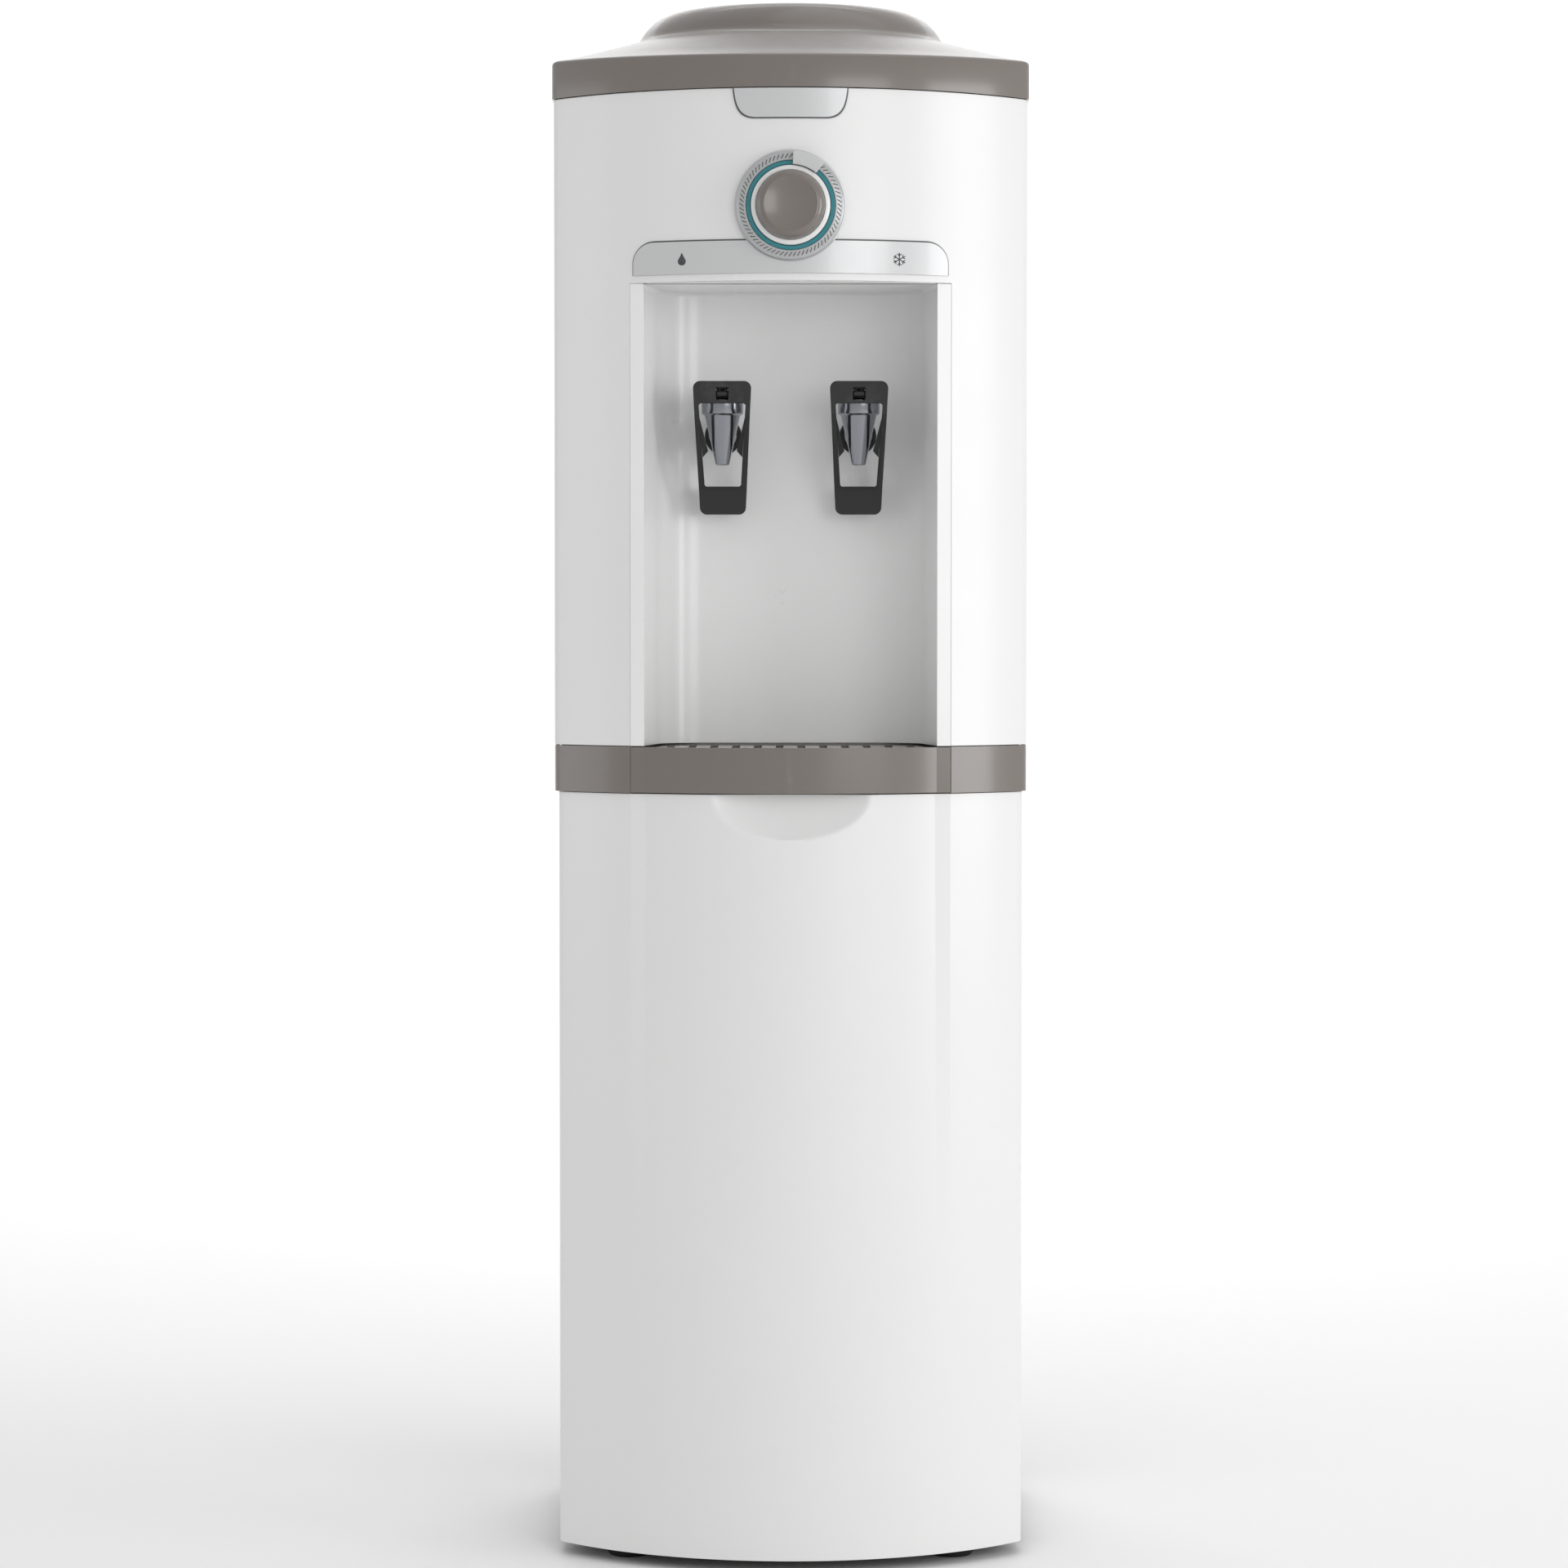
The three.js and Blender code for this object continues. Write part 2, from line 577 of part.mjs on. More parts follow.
// One tap in its own frame: 0 is where the tail's axis meets the face of the niche wall.
function tap(suffix, side) {
  const spout = [
    [2.8, SPOUT_TIP],
    [4.2, SPOUT_TIP],
    [11.6, COLLAR_LOW - 0.6],
    [13.4, COLLAR_LOW],
    [13.4, BODY_TOP],
    [6, BODY_TOP],
    [6, VALVE_SEAT],
    [2.8, VALVE_SEAT],
  ];
  const tail = alongY(rod(9, 0, 50 + WALL, 20), 0, SPOUT_Y, 0);
  const nozzle = rod(2.8, SPOUT_TIP - 1, BODY_TOP).translate([0, SPOUT_Y, 0]);
  const chamber = rod(6, VALVE_SEAT, BODY_TOP + 1).translate([0, SPOUT_Y, 0]);
  const inlet = alongY(rod(4, 0, 60, 12), 0, SPOUT_Y, 0);
  const body = cut(join(turned(spout).translate([0, SPOUT_Y, 0]), tail), nozzle, chamber, inlet);

  const lugOutline = new THREE.Shape();
  lugOutline.absarc(PIVOT.y, PIVOT.z, 2.6, Math.PI / 2, 1.5 * Math.PI, false);
  lugOutline.lineTo(SPOUT_Y - 8, PIVOT.z - 2.6);
  lugOutline.lineTo(SPOUT_Y - 8, PIVOT.z + 2.5);
  const lug = cut(sidePrism(lugOutline, 3.4), across(rod(1.5, -10, 10, 10)));
  const bonnet = join(
    ring(1.9, 12.6, BODY_TOP + GAP, BONNET_TOP).translate([0, SPOUT_Y, 0]),
    ring(1.9, 5.6, 15, BODY_TOP + 1, 16).translate([0, SPOUT_Y, 0]),
    lug,
  );

  const seat = VALVE_SEAT + GAP;
  const plug = [[0, seat], [4.6, seat], [5.2, 0], [5.2, 0.8], [1.5, 0.8]];
  const head = [[1.5, 30.7], [4, 30.7], [4, 32.6], [0, 32.6]];
  const stem = turned([...plug, ...head], 16).translate([0, SPOUT_Y, 0]);

  const spring = tube(new Helix(3.6, 1.6, 14.2, 5), 0.5, 45, 4).translate([0, SPOUT_Y, 0]);
  const gasket = alongY(ring(9.5, 12, 0, 2, 20), 0, -2 - GAP, 0);
  const nut = alongY(cut(rod(15, 0, 7, 6), rod(9.5, -1, 8)), 0, WALL + GAP, 0);
  const meshes = [
    piece(`tap_body_${suffix}`, body, CHROME),
    piece(`tap_bonnet_${suffix}`, bonnet, BLACK),
    piece(`tap_stem_${suffix}`, stem, BLACK),
    piece(`tap_spring_${suffix}`, spring, SPRING_STEEL),
    piece(`tap_lever_${suffix}`, lever(), BLACK),
    piece(`tap_gasket_${suffix}`, gasket, RUBBER),
    piece(`tap_nut_${suffix}`, nut, NATURAL_PLASTIC),
  ];
  const group = new THREE.Group();
  group.add(...meshes);
  group.position.set(side * TAP_X, NICHE.back, TAP_INLET_Z);
  return group;
}

// An outline in side view, with y across and z up, centred on the tap's middle plane.
function sidePrism(shape, half, curveSegments = 5) {
  const geometry = new THREE.ExtrudeGeometry(shape, { depth: 2 * half, bevelEnabled: false, curveSegments });
  geometry.translate(0, 0, -half);
  return toSolid(geometry.rotateY(Math.PI / 2).rotateX(Math.PI / 2));
}

// A turned piece laid across the tap on the lever's pivot.
const across = (solid) => solid.rotate([0, 90, 0]).translate([0, PIVOT.y, PIVOT.z]);

class Helix extends THREE.Curve {
  constructor(radius, low, high, turns) {
    super();
    Object.assign(this, { radius, low, high, turns });
  }
  getPoint(t, target = new THREE.Vector3()) {
    const a = 2 * Math.PI * this.turns * t;
    const z = this.low + (this.high - this.low) * t;
    return target.set(this.radius * Math.cos(a), this.radius * Math.sin(a), z);
  }
}

// The black frame that a cup pushes back. It leans under the spout, with a tongue that lifts the stem.
function lever() {
  const frontY = PIVOT.y - 4;
  const outline = (top, low, topHalf, lowHalf, r) => {
    const shape = new THREE.Shape();
    shape.moveTo(-lowHalf + r, low);
    shape.lineTo(lowHalf - r, low);
    shape.quadraticCurveTo(lowHalf, low, lowHalf, low + r);
    shape.lineTo(topHalf, top - r);
    shape.quadraticCurveTo(topHalf, top, topHalf - r, top);
    shape.lineTo(-topHalf + r, top);
    shape.quadraticCurveTo(-topHalf, top, -topHalf, top - r);
    shape.lineTo(-lowHalf, low + r);
    shape.quadraticCurveTo(-lowHalf, low, -lowHalf + r, low);
    return shape;
  };
  const { top, low, windowTop, windowLow } = LEVER;
  const frame = cut(
    frontPrism(outline(top, low, 18.6, 14.9, 4.5), frontY, frontY + 60, 3),
    frontPrism(outline(windowTop, windowLow, 15.2, 11.8, 1.5), frontY - 1, frontY + 61, 2),
  );
  // Side view: an upright head, then arms that lean back to the paddle behind the spout's stream.
  const profile = new THREE.Shape();
  profile.moveTo(frontY, top);
  profile.lineTo(frontY + 4.5, top);
  profile.lineTo(frontY + 4.5, 14);
  profile.lineTo(-18, -36);
  profile.lineTo(-17, low);
  profile.lineTo(-20.5, low);
  profile.lineTo(-22.5, -36);
  profile.lineTo(frontY, 12);
  const leaning = frame.intersect(sidePrism(profile, 30));
  const notch = block([-4, frontY - 1, windowTop + 2], [4, frontY + 6, PIVOT.z + 4]);
  const pin = across(rod(PIVOT.r, -5, -1.6, 10));
  const otherPin = across(rod(PIVOT.r, 1.6, 5, 10));
  const tongue = block([-5.5, frontY + 4, BONNET_TOP + 0.8], [5.5, SPOUT_Y + 1, BONNET_TOP + 2.8]);
  const slot = block([-2.2, SPOUT_Y - 2.4, BONNET_TOP], [2.2, SPOUT_Y + 3, BONNET_TOP + 4]);
  return join(cut(leaning, notch), pin, otherPin, cut(tongue, slot));
}

// ---------------------------------------------------------------- water tank

function coldTank() {
  const { y, r, low, high, wall } = TANK;
  const outside = [[0, low], [r - 8, low], [r, low + 8], [r, high]];
  const inside = [[r - wall, high], [r - wall, low + 9], [r - 9, low + wall], [0, low + wall]];
  const shell = turned([...outside, ...inside], 24);
  const nipple = ring(3.6, 5.2, -24, 1, 12).translate([TAP_X, -40, low]);
  const port = rod(3.6, -30, 5, 12).translate([TAP_X, -40, low]);
  return cut(join(shell, nipple), port).translate([0, y, 0]);
}

function tankLid() {
  const { y, r, high } = TANK;
  const plate = rod(r, high + GAP, high + 3, 24).translate([0, y, 0]);
  const throat = rod(SPIKE_R + 2.6, high - 5, high + 9);
  const well = rod(4, high - 5, high + 9, 12).translate([WELL.x, WELL.y, 0]);
  const nipple = rod(4.6, high + 1, high + 15, 12).translate([OVERFLOW.x, OVERFLOW.y, 0]);
  const port = rod(3, high - 5, high + 20, 12).translate([OVERFLOW.x, OVERFLOW.y, 0]);
  return cut(join(plate, nipple), throat, well, port);
}

function evaporatorCoil() {
  const { r, tube: half, low, pitch, turns } = COIL;
  const helix = new Helix(r, low, low + pitch * turns, turns);
  return tube(helix, half, turns * 12, 6).rotate([0, 0, 90]).translate([0, TANK.y, 0]);
}

function insulationHalf(side) {
  const { inner, outer, low, high } = INSULATION;
  const { y, high: top } = TANK;
  const room = { low: TANK.low - 1, high: top + 3.4 };
  const outside = [[0, low], [outer - 6, low], [outer, low + 6], [outer, high], [0, high]];
  const inside = [[0, room.high], [inner, room.high], [inner, room.low], [0, room.low]];
  const shell = turned([...outside, ...inside], 24).translate([0, y, 0]);
  const half = block([GAP / 2, -100, low - 1], [120, 200, high + 1]);
  const kept = shell.intersect(side > 0 ? half : half.rotate([0, 0, 180]).translate([0, 100, 0]));
  return cut(
    kept,
    rod(SPIKE_R + 2.6, top, high + 9),
    rod(4, top, high + 9, 12).translate([WELL.x, WELL.y, 0]),
    rod(5.4, top, high + 9, 12).translate([OVERFLOW.x, OVERFLOW.y, 0]),
    rod(6, low - 5, TANK.low + 5, 12).translate([TAP_X, TANK.y - 40, 0]),
    alongY(rod(6.5, 0, 40, 10), SUCTION.x, 100, SUCTION.z),
    alongY(rod(3.5, 0, 40, 8), CAPILLARY.x, 100, CAPILLARY.z),
  );
}

// The bowl that the bottle's neck stands in, with the hollow spike that pierces its cap.
function bottleSeparator() {
  const { rim, low, foot: base, wall } = BOWL;
  const rest = COLLAR.ledgeTop + GAP;
  const under = [[SPIKE_R - 2, low], [base, low], [base + 8, low + 6], [rim, rest - 4], [rim, rest]];
  const flange = [[COLLAR.hole - 1, rest], [COLLAR.hole - 1, rest + 2.4], [rim - wall, rest + 2.4]];
  const floor = [[base + 5, low + 8], [base - 1, low + wall], [SPIKE_R - 2, low + wall]];
  const bowl = turned([...under, ...flange, [rim - wall, rest - 4], ...floor], 24);
  const spike = turned([[6.6, 886], [SPIKE_R, 886], [SPIKE_R, 968], [5, 984], [2.6, 984], [6.6, 968]]);
  const drain = block([-20, -2.5, low + wall], [20, 2.5, low + 12]);
  return cut(join(bowl, spike), drain);
}

// ---------------------------------------------------------------- cooling circuit

const SUCTION = { x: 14, z: 848 };
const CAPILLARY = { x: 40, z: 784 };

function mountingPoints() {
  const { x, y } = COMPRESSOR;
  return [[-1, -1], [1, -1], [-1, 1], [1, 1]].map(([a, b]) => [x + a * MOUNTING.x, y + b * MOUNTING.y]);
}

function compressor() {
  const { x, y, low, high, r, stretch } = COMPRESSOR;
  const middle = (low + high) / 2;
  const bottom = [[0, low], [r * 0.62, low + 3], [r * 0.9, low + 14], [r, low + 30], [r, middle]];
  const seam = [[r + 2.5, middle], [r + 2.5, middle + 4], [r, middle + 4]];
  const dome = [[r * 0.97, high - 26], [r * 0.8, high - 9], [r * 0.45, high - 1], [0, high]];
  const shell = turned([...bottom, ...seam, ...dome], 18).scale([stretch, 1, 1]).translate([x, y, 0]);
  const plate = block([x - 92, y - 52, low - 2.4], [x + 92, y + 52, low + 0.6]);
  const opening = block([x - 64, y - 60, low - 5], [x + 64, y - 40, low + 5]);
  const holes = mountingPoints().map(([px, py]) => rod(5.4, low - 5, low + 5, 12).translate([px, py, 0]));
  const stubs = [[38, 26], [30, -28], [-6, 40]].map(([dx, dy]) =>
    rod(3.6, high - 40, high + 6, 10).translate([x + dx, y + dy, 0]));
  return join(cut(plate, opening, ...holes), shell, ...stubs);
}

const grommet = () => ring(4.4, 10, PAN.high + GAP, COMPRESSOR.low - 2.7, 16);

function relayCover() {
  const { x, y, r, stretch } = COMPRESSOR;
  const start = x + r * stretch + 4.2;
  return block([start, y - 22, 66], [start + 26, y + 24, 122]);
}

// A run of tube up, across and down again, row by row.
function serpentine() {
  const { half, y, tube: r } = CONDENSER;
  const { low, pitch, count } = CONDENSER_ROWS;
  const path = new THREE.CurvePath();
  const bend = pitch / 2;
  const point = (x, z) => new THREE.Vector3(x, y, z);
  for (let row = 0; row < count; row++) {
    const way = row % 2 ? -1 : 1;
    const z = low + row * pitch;
    path.add(new THREE.LineCurve3(point(-way * (half - bend), z), point(way * (half - bend), z)));
    if (row === count - 1) break;
    const turn = [0, 45, 90, 135, 180].map((degrees) => {
      const a = THREE.MathUtils.degToRad(degrees);
      return point(way * (half - bend + bend * Math.sin(a)), z + bend - bend * Math.cos(a));
    });
    turn.slice(1).forEach((p, i) => path.add(new THREE.LineCurve3(turn[i], p)));
  }
  return sweep(path, r);
}

// A tube with flat joints at each corner of a path of straight runs.
function sweep(path, r, sides = 6) {
  const corners = [path.curves[0].v1, ...path.curves.map((curve) => curve.v2)];
  const across = new THREE.Vector3(0, 1, 0);
  const rings = corners.map((p, i) => {
    const before = i ? p.clone().sub(corners[i - 1]).normalize() : null;
    const after = i < corners.length - 1 ? corners[i + 1].clone().sub(p).normalize() : null;
    const along = (before || after).clone().add(after || before).normalize();
    const out = new THREE.Vector3().crossVectors(along, across).normalize();
    return Array.from({ length: sides }, (_, k) => {
      const a = (2 * Math.PI * k) / sides;
      return p.clone().addScaledVector(out, r * Math.cos(a)).addScaledVector(across, r * Math.sin(a));
    });
  });
  return capped(rings);
}

// A closed skin through rings, with a fan over each end.
function capped(rings) {
  const count = rings[0].length;
  const positions = rings.flat().flatMap((p) => [p.x, p.y, p.z]);
  const index = [];
  for (let i = 0; i < rings.length - 1; i++) {
    for (let j = 0; j < count; j++) {
      const k = (j + 1) % count;
      const [a, b, c, d] = [i * count + j, i * count + k, (i + 1) * count + k, (i + 1) * count + j];
      index.push(a, b, c, a, c, d);
    }
  }
  const last = (rings.length - 1) * count;
  for (let j = 1; j < count - 1; j++) {
    index.push(0, j + 1, j, last, last + j, last + j + 1);
  }
  const geometry = new THREE.BufferGeometry();
  geometry.setAttribute("position", new THREE.Float32BufferAttribute(positions, 3));
  geometry.setIndex(index);
  const solid = toSolid(geometry);
  return solid.volume() < 0 ? toSolid(flipped(geometry)) : solid;
}

function condenser() {
  const { y, tube: r, wire, half } = CONDENSER;
  const { low, pitch, count } = CONDENSER_ROWS;
  const offset = r + wire - 0.5;
  const span = [low - 12, low + pitch * (count - 1) + 12];
  const wires = [];
  for (let i = 0; i < CONDENSER_WIRES; i++) {
    const x = (i / (CONDENSER_WIRES - 1) - 0.5) * 2 * (half - 26);
    wires.push(rod(wire, ...span, 4).translate([x, y + (i % 2 ? -offset : offset), 0]));
  }
  return join(serpentine(), ...wires);
}

function condenserClip() {
  const base = block([-6, REAR + GAP, -9], [6, REAR + 3, 9]);
  const post = block([-4, REAR + 2, -4], [4, CONDENSER_BACK, 4]);
  const groove = rod(CONDENSER.tube + GAP, -20, 20, 12).rotate([0, 90, 0]).translate([0, CONDENSER.y, 0]);
  const mouth = block([-20, CONDENSER.y - 1.4, -8], [20, CONDENSER.y + 1.4, 0]);
  return cut(join(base, post), groove, mouth);
}

const CLIPS = [
  ["upper_left", -84, CONDENSER_ROWS.count - 2],
  ["upper_right", 84, CONDENSER_ROWS.count - 2],
  ["lower_left", -84, 1],
  ["lower_right", 84, 1],
];

function dischargeLine() {
  const { x, y, high } = COMPRESSOR;
  const top = high + 6.3;
  const end = CONDENSER_ROWS.low;
  return tube(route([
    [x + 38, y + 26, top],
    [x + 38, y + 26, top + 12],
    [x + 20, y + 40, top + 40],
    [x - 30, y + 60, 232],
    [-118, 150, 226],
    [-128, CONDENSER.y, 250],
    [-118, CONDENSER.y, end],
    [-98.6, CONDENSER.y, end],
  ]), 2.4, 36, 6);
}

function suctionLine() {
  const { x, y, high } = COMPRESSOR;
  return tube(route([
    [SUCTION.x, 122.4, SUCTION.z],
    [SUCTION.x, 132, SUCTION.z],
    [SUCTION.x + 1, 141, SUCTION.z - 8],
    [SUCTION.x + 8, 144, 780],
    [30, 143, 600],
    [36, 142, 320],
    [30, 110, 220],
    [x + 30, y - 28, high + 26],
    [x + 30, y - 28, high + 6.3],
  ]), 3, 44, 6);
}

function filterDrier() {
  const canister = [[0, 0], [2, 0], [2, 6], [8, 14], [8, 62], [2, 72], [2, 80], [0, 80]];
  const body = turned(canister, 14).translate([96, 134, 120]);
  const capillary = route([
    [96, 134, 196],
    [96, 134, 214],
    [70, 138, 240],
    [62, 144, 400],
    [56, 145, 620],
    [CAPILLARY.x + 6, 142, 740],
    [CAPILLARY.x, 138, CAPILLARY.z - 4],
    [CAPILLARY.x, 128, CAPILLARY.z],
    [CAPILLARY.x, 115, CAPILLARY.z],
  ]);
  return join(body, tube(capillary, 1.1, 40, 5));
}

// ---------------------------------------------------------------- hoses and cord entry

function hoseNatural() {
  return tube(route([
    [OVERFLOW.x, OVERFLOW.y, 936.6],
    [OVERFLOW.x, OVERFLOW.y, 943],
    [-64, 50, 953],
    [-88, 20, 947],
    [-97, -6, 906],
    [-95, -14, 800],
    [-84, -4, 743],
    [-62, 4, 725],
    [-TAP_X, -8, TAP_INLET_Z],
    [-TAP_X, NICHE.back + 17.6, TAP_INLET_Z],
  ]), 4.6, 30, 8);
}

function hoseCold() {
  return tube(route([
    [TAP_X, 8, TANK.low - 24.6],
    [TAP_X, 8, TANK.low - 30],
    [TAP_X, 2, TAP_INLET_Z + 1],
    [TAP_X, -12, TAP_INLET_Z],
    [TAP_X, NICHE.back + 17.6, TAP_INLET_Z],
  ]), 4.6, 18, 8);
}

// The grommet that the mains lead passes through.
function cordGland() {
  const profile = [[2.4, -6], [GLAND.r, -6], [GLAND.r, 0], [6.6, 0], [6.6, 2], [5, 5], [2.4, 5]];
  return alongY(turned(profile, 16), GLAND.x, REAR - SHEET, GLAND.z);
}

// ---------------------------------------------------------------- assembly

const dispenser = new THREE.Group();
dispenser.add(
  piece("base_pan", basePan(), BLACK_STEEL),
  piece("lower_front_panel", lowerFrontPanel(), WHITE),
  piece("upper_front_panel", upperFrontPanel(), WHITE),
  piece("niche_liner", nicheLiner(), NICHE_WHITE),
  piece("waist_band", waistBand(), TAUPE),
  piece("top_cover", topCover(), TAUPE),
  piece("side_panel_left", sidePanel(-1), WHITE_SHEET),
  piece("side_panel_right", sidePanel(1), WHITE_SHEET),
  piece("rear_panel", rearPanel(), GALVANISED),
  piece("badge_plate", badgePlate(), SILVER),
  piece("fascia_plate", fasciaPlate(), SILVER),
  piece("drip_tray", dripTray(), TAUPE),
  piece("drip_grille", dripGrille(), TAUPE),
  piece("thermostat", thermostat(), GALVANISED),
  piece("cold_tank", coldTank(), STAINLESS),
  piece("tank_lid", tankLid(), NATURAL_PLASTIC),
  piece("evaporator_coil", evaporatorCoil(), COPPER),
  piece("insulation_left", insulationHalf(-1), FOAM),
  piece("insulation_right", insulationHalf(1), FOAM),
  piece("bottle_separator", bottleSeparator(), NATURAL_PLASTIC),
  piece("compressor", compressor(), BLACK_STEEL),
  piece("relay_cover", relayCover(), BLACK),
  piece("condenser", condenser(), BLACK_STEEL),
  piece("discharge_line", dischargeLine(), COPPER),
  piece("suction_line", suctionLine(), COPPER),
  piece("filter_drier", filterDrier(), COPPER),
  piece("hose_natural", hoseNatural(), NATURAL_PLASTIC),
  piece("hose_cold", hoseCold(), NATURAL_PLASTIC),
  piece("cord_gland", cordGland(), BLACK),
  dial(),
  tap("left", -1),
  tap("right", 1),
);

FEET.forEach(([name, x, y]) => {
  const mesh = piece(`foot_${name}`, foot(), RUBBER);
  mesh.position.set(x, y, 0);
  dispenser.add(mesh);
});

mountingPoints().forEach(([x, y], i) => {
  const mesh = piece(`compressor_mount_${i + 1}`, grommet(), RUBBER);
  mesh.position.set(x, y, 0);
  dispenser.add(mesh);
});

CLIPS.forEach(([name, x, row]) => {
  const mesh = piece(`condenser_clip_${name}`, condenserClip(), BLACK);
  mesh.position.set(x, 0, CONDENSER_ROWS.low + row * CONDENSER_ROWS.pitch);
  dispenser.add(mesh);
});

export default dispenser;
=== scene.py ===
# %% [markdown]
# # A floor-standing water dispenser
# A white column with a bowed front, a niche with two lever taps over a drip tray, and a warm grey lid
# that carries an upturned bottle. The engineering solids of all its parts are loaded first and give
# every size. This lesson then puts a finely modelled, well finished piece over each solid that shows.

# %% Load the solids and keep their box
import json
from math import atan2, cos, degrees, pi, radians, sin, sqrt

import bmesh
import bpy
from mathutils import Matrix, Vector


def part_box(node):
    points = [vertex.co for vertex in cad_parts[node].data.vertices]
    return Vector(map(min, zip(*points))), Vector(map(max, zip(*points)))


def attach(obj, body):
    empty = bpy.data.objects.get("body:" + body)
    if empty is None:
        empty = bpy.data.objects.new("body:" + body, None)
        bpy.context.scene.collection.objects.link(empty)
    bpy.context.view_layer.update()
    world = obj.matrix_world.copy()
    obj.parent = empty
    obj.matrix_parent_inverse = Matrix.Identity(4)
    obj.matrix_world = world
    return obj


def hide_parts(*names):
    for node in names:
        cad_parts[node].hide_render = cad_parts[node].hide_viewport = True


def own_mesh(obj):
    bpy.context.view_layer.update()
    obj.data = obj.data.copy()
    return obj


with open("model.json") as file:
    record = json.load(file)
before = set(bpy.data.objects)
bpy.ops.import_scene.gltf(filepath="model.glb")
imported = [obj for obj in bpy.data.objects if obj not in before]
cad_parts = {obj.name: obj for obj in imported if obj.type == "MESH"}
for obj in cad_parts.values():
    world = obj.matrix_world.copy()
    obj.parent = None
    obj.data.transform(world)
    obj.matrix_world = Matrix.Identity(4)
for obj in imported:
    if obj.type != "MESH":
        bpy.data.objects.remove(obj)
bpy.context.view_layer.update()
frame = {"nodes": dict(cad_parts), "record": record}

MM = 0.001

# %% [markdown]
# ## Camera
# A product picture is taken from far away with a long lens, a little above the middle of the object,
# so upright edges stay nearly parallel. The camera tilts down by two degrees and has no lens shift.

# %% Place the camera
CAMERA_AT = Vector((0.0, -3.0, 0.600))
TILT_DOWN = radians(1.987)
TURN_LEFT = radians(0.083)
LENS_MM = 104.00625

lens = bpy.data.cameras.new("catalogue_camera")
lens.lens = LENS_MM
lens.sensor_width = 36
camera = bpy.data.objects.new("catalogue_camera", lens)
camera.location = CAMERA_AT
camera.rotation_euler = (pi / 2 - TILT_DOWN, 0, TURN_LEFT)
bpy.context.scene.collection.objects.link(camera)
bpy.context.scene.camera = camera
print("lens", round(LENS_MM, 1), "mm")

# %% [markdown]
# ## Studio
# Gloss white plastic only shows its shape through soft changes of brightness. One large softbox on the
# right makes the bowed front fade from light to shade, and a weak one on the left lifts the far edge. A
# small one in front reaches into the niche, one above draws the lid's highlights and one whitens the
# backdrop. A pale surrounding lights the rest. The floor is a pale sheet that sweeps up behind.

# %% Light the studio
def softbox(name, place, aim, size, power):
    """A square area light at a place, turned towards a point."""
    data = bpy.data.lights.new(name, "AREA")
    data.shape = "SQUARE"
    data.size = size
    data.energy = power
    lamp = bpy.data.objects.new(name, data)
    lamp.location = place
    lamp.rotation_euler = (Vector(aim) - Vector(place)).to_track_quat("-Z", "Y").to_euler()
    bpy.context.scene.collection.objects.link(lamp)


softbox("softbox_right", (2.0, -0.95, 0.8), (0, 0, 0.55), 1.1, 13.5)
softbox("softbox_front", (1.1, -2.4, 1.0), (0, 0, 0.65), 1.0, 8.5)
softbox("softbox_left", (-2.5, -0.3, 0.8), (0, 0, 0.6), 1.2, 4)
softbox("softbox_top", (0.5, -0.2, 2.5), (0, 0, 0.9), 1.4, 2.5)
softbox("softbox_backdrop", (0, 1.5, 3.1), (0, 3.76, 1.3), 1.5, 60)

world = bpy.data.worlds.new("pale_surrounding")
world.use_nodes = True
world.node_tree.nodes["Background"].inputs["Color"].default_value = (1.0, 1.0, 1.0, 1)
world.node_tree.nodes["Background"].inputs["Strength"].default_value = 0.67
bpy.context.scene.world = world
bpy.context.scene.view_settings.view_transform = "Standard"

floor_material = bpy.data.materials.new("floor_sheet")
floor_material.use_nodes = True
floor_paint = floor_material.node_tree.nodes["Principled BSDF"]
floor_paint.inputs["Base Color"].default_value = (0.86, 0.86, 0.86, 1)
floor_paint.inputs["Roughness"].default_value = 0.7
sheet = bmesh.new()
SWEEP = [(-8, 0), (2.0, 0), (2.6, 0.06), (3.1, 0.24), (3.5, 0.6), (3.7, 1.1), (3.76, 1.8), (3.76, 6)]
edge = [sheet.verts.new((-9, y, z)) for y, z in SWEEP]
edge_lines = [sheet.edges.new(pair) for pair in zip(edge, edge[1:])]
sweep = bmesh.ops.extrude_edge_only(sheet, edges=edge_lines)["geom"]
bmesh.ops.translate(sheet, verts=[g for g in sweep if isinstance(g, bmesh.types.BMVert)], vec=(18, 0, 0))
floor_mesh = bpy.data.meshes.new("floor")
sheet.to_mesh(floor_mesh)
sheet.free()
floor_mesh.materials.append(floor_material)
floor_mesh.shade_smooth()
floor = bpy.data.objects.new("floor", floor_mesh)
bpy.context.scene.collection.objects.link(floor)
print("five softboxes and a floor")

# %% [markdown]
# ## Shader groups
# Most finishes share a few effects: the faint unevenness of a moulded skin, cloudy changes of tone and
# gloss from handling, dust on what faces up, rubbed edges and the fine lines of drawn or brushed metal.
# Each effect is a node group with named inputs, built once and placed in every finish that needs it.

# %% Start a group and its sockets
def effect_group(name, inputs, outputs):
    """A shader node group with float or vector inputs and float outputs."""
    group = bpy.data.node_groups.new(name, "ShaderNodeTree")
    for label, kind, value in inputs:
        socket = group.interface.new_socket(label, in_out="INPUT", socket_type=kind)
        if value is not None:
            socket.default_value = value
    for label in outputs:
        group.interface.new_socket(label, in_out="OUTPUT", socket_type="NodeSocketFloat")
    return group, group.nodes.new("NodeGroupInput"), group.nodes.new("NodeGroupOutput")


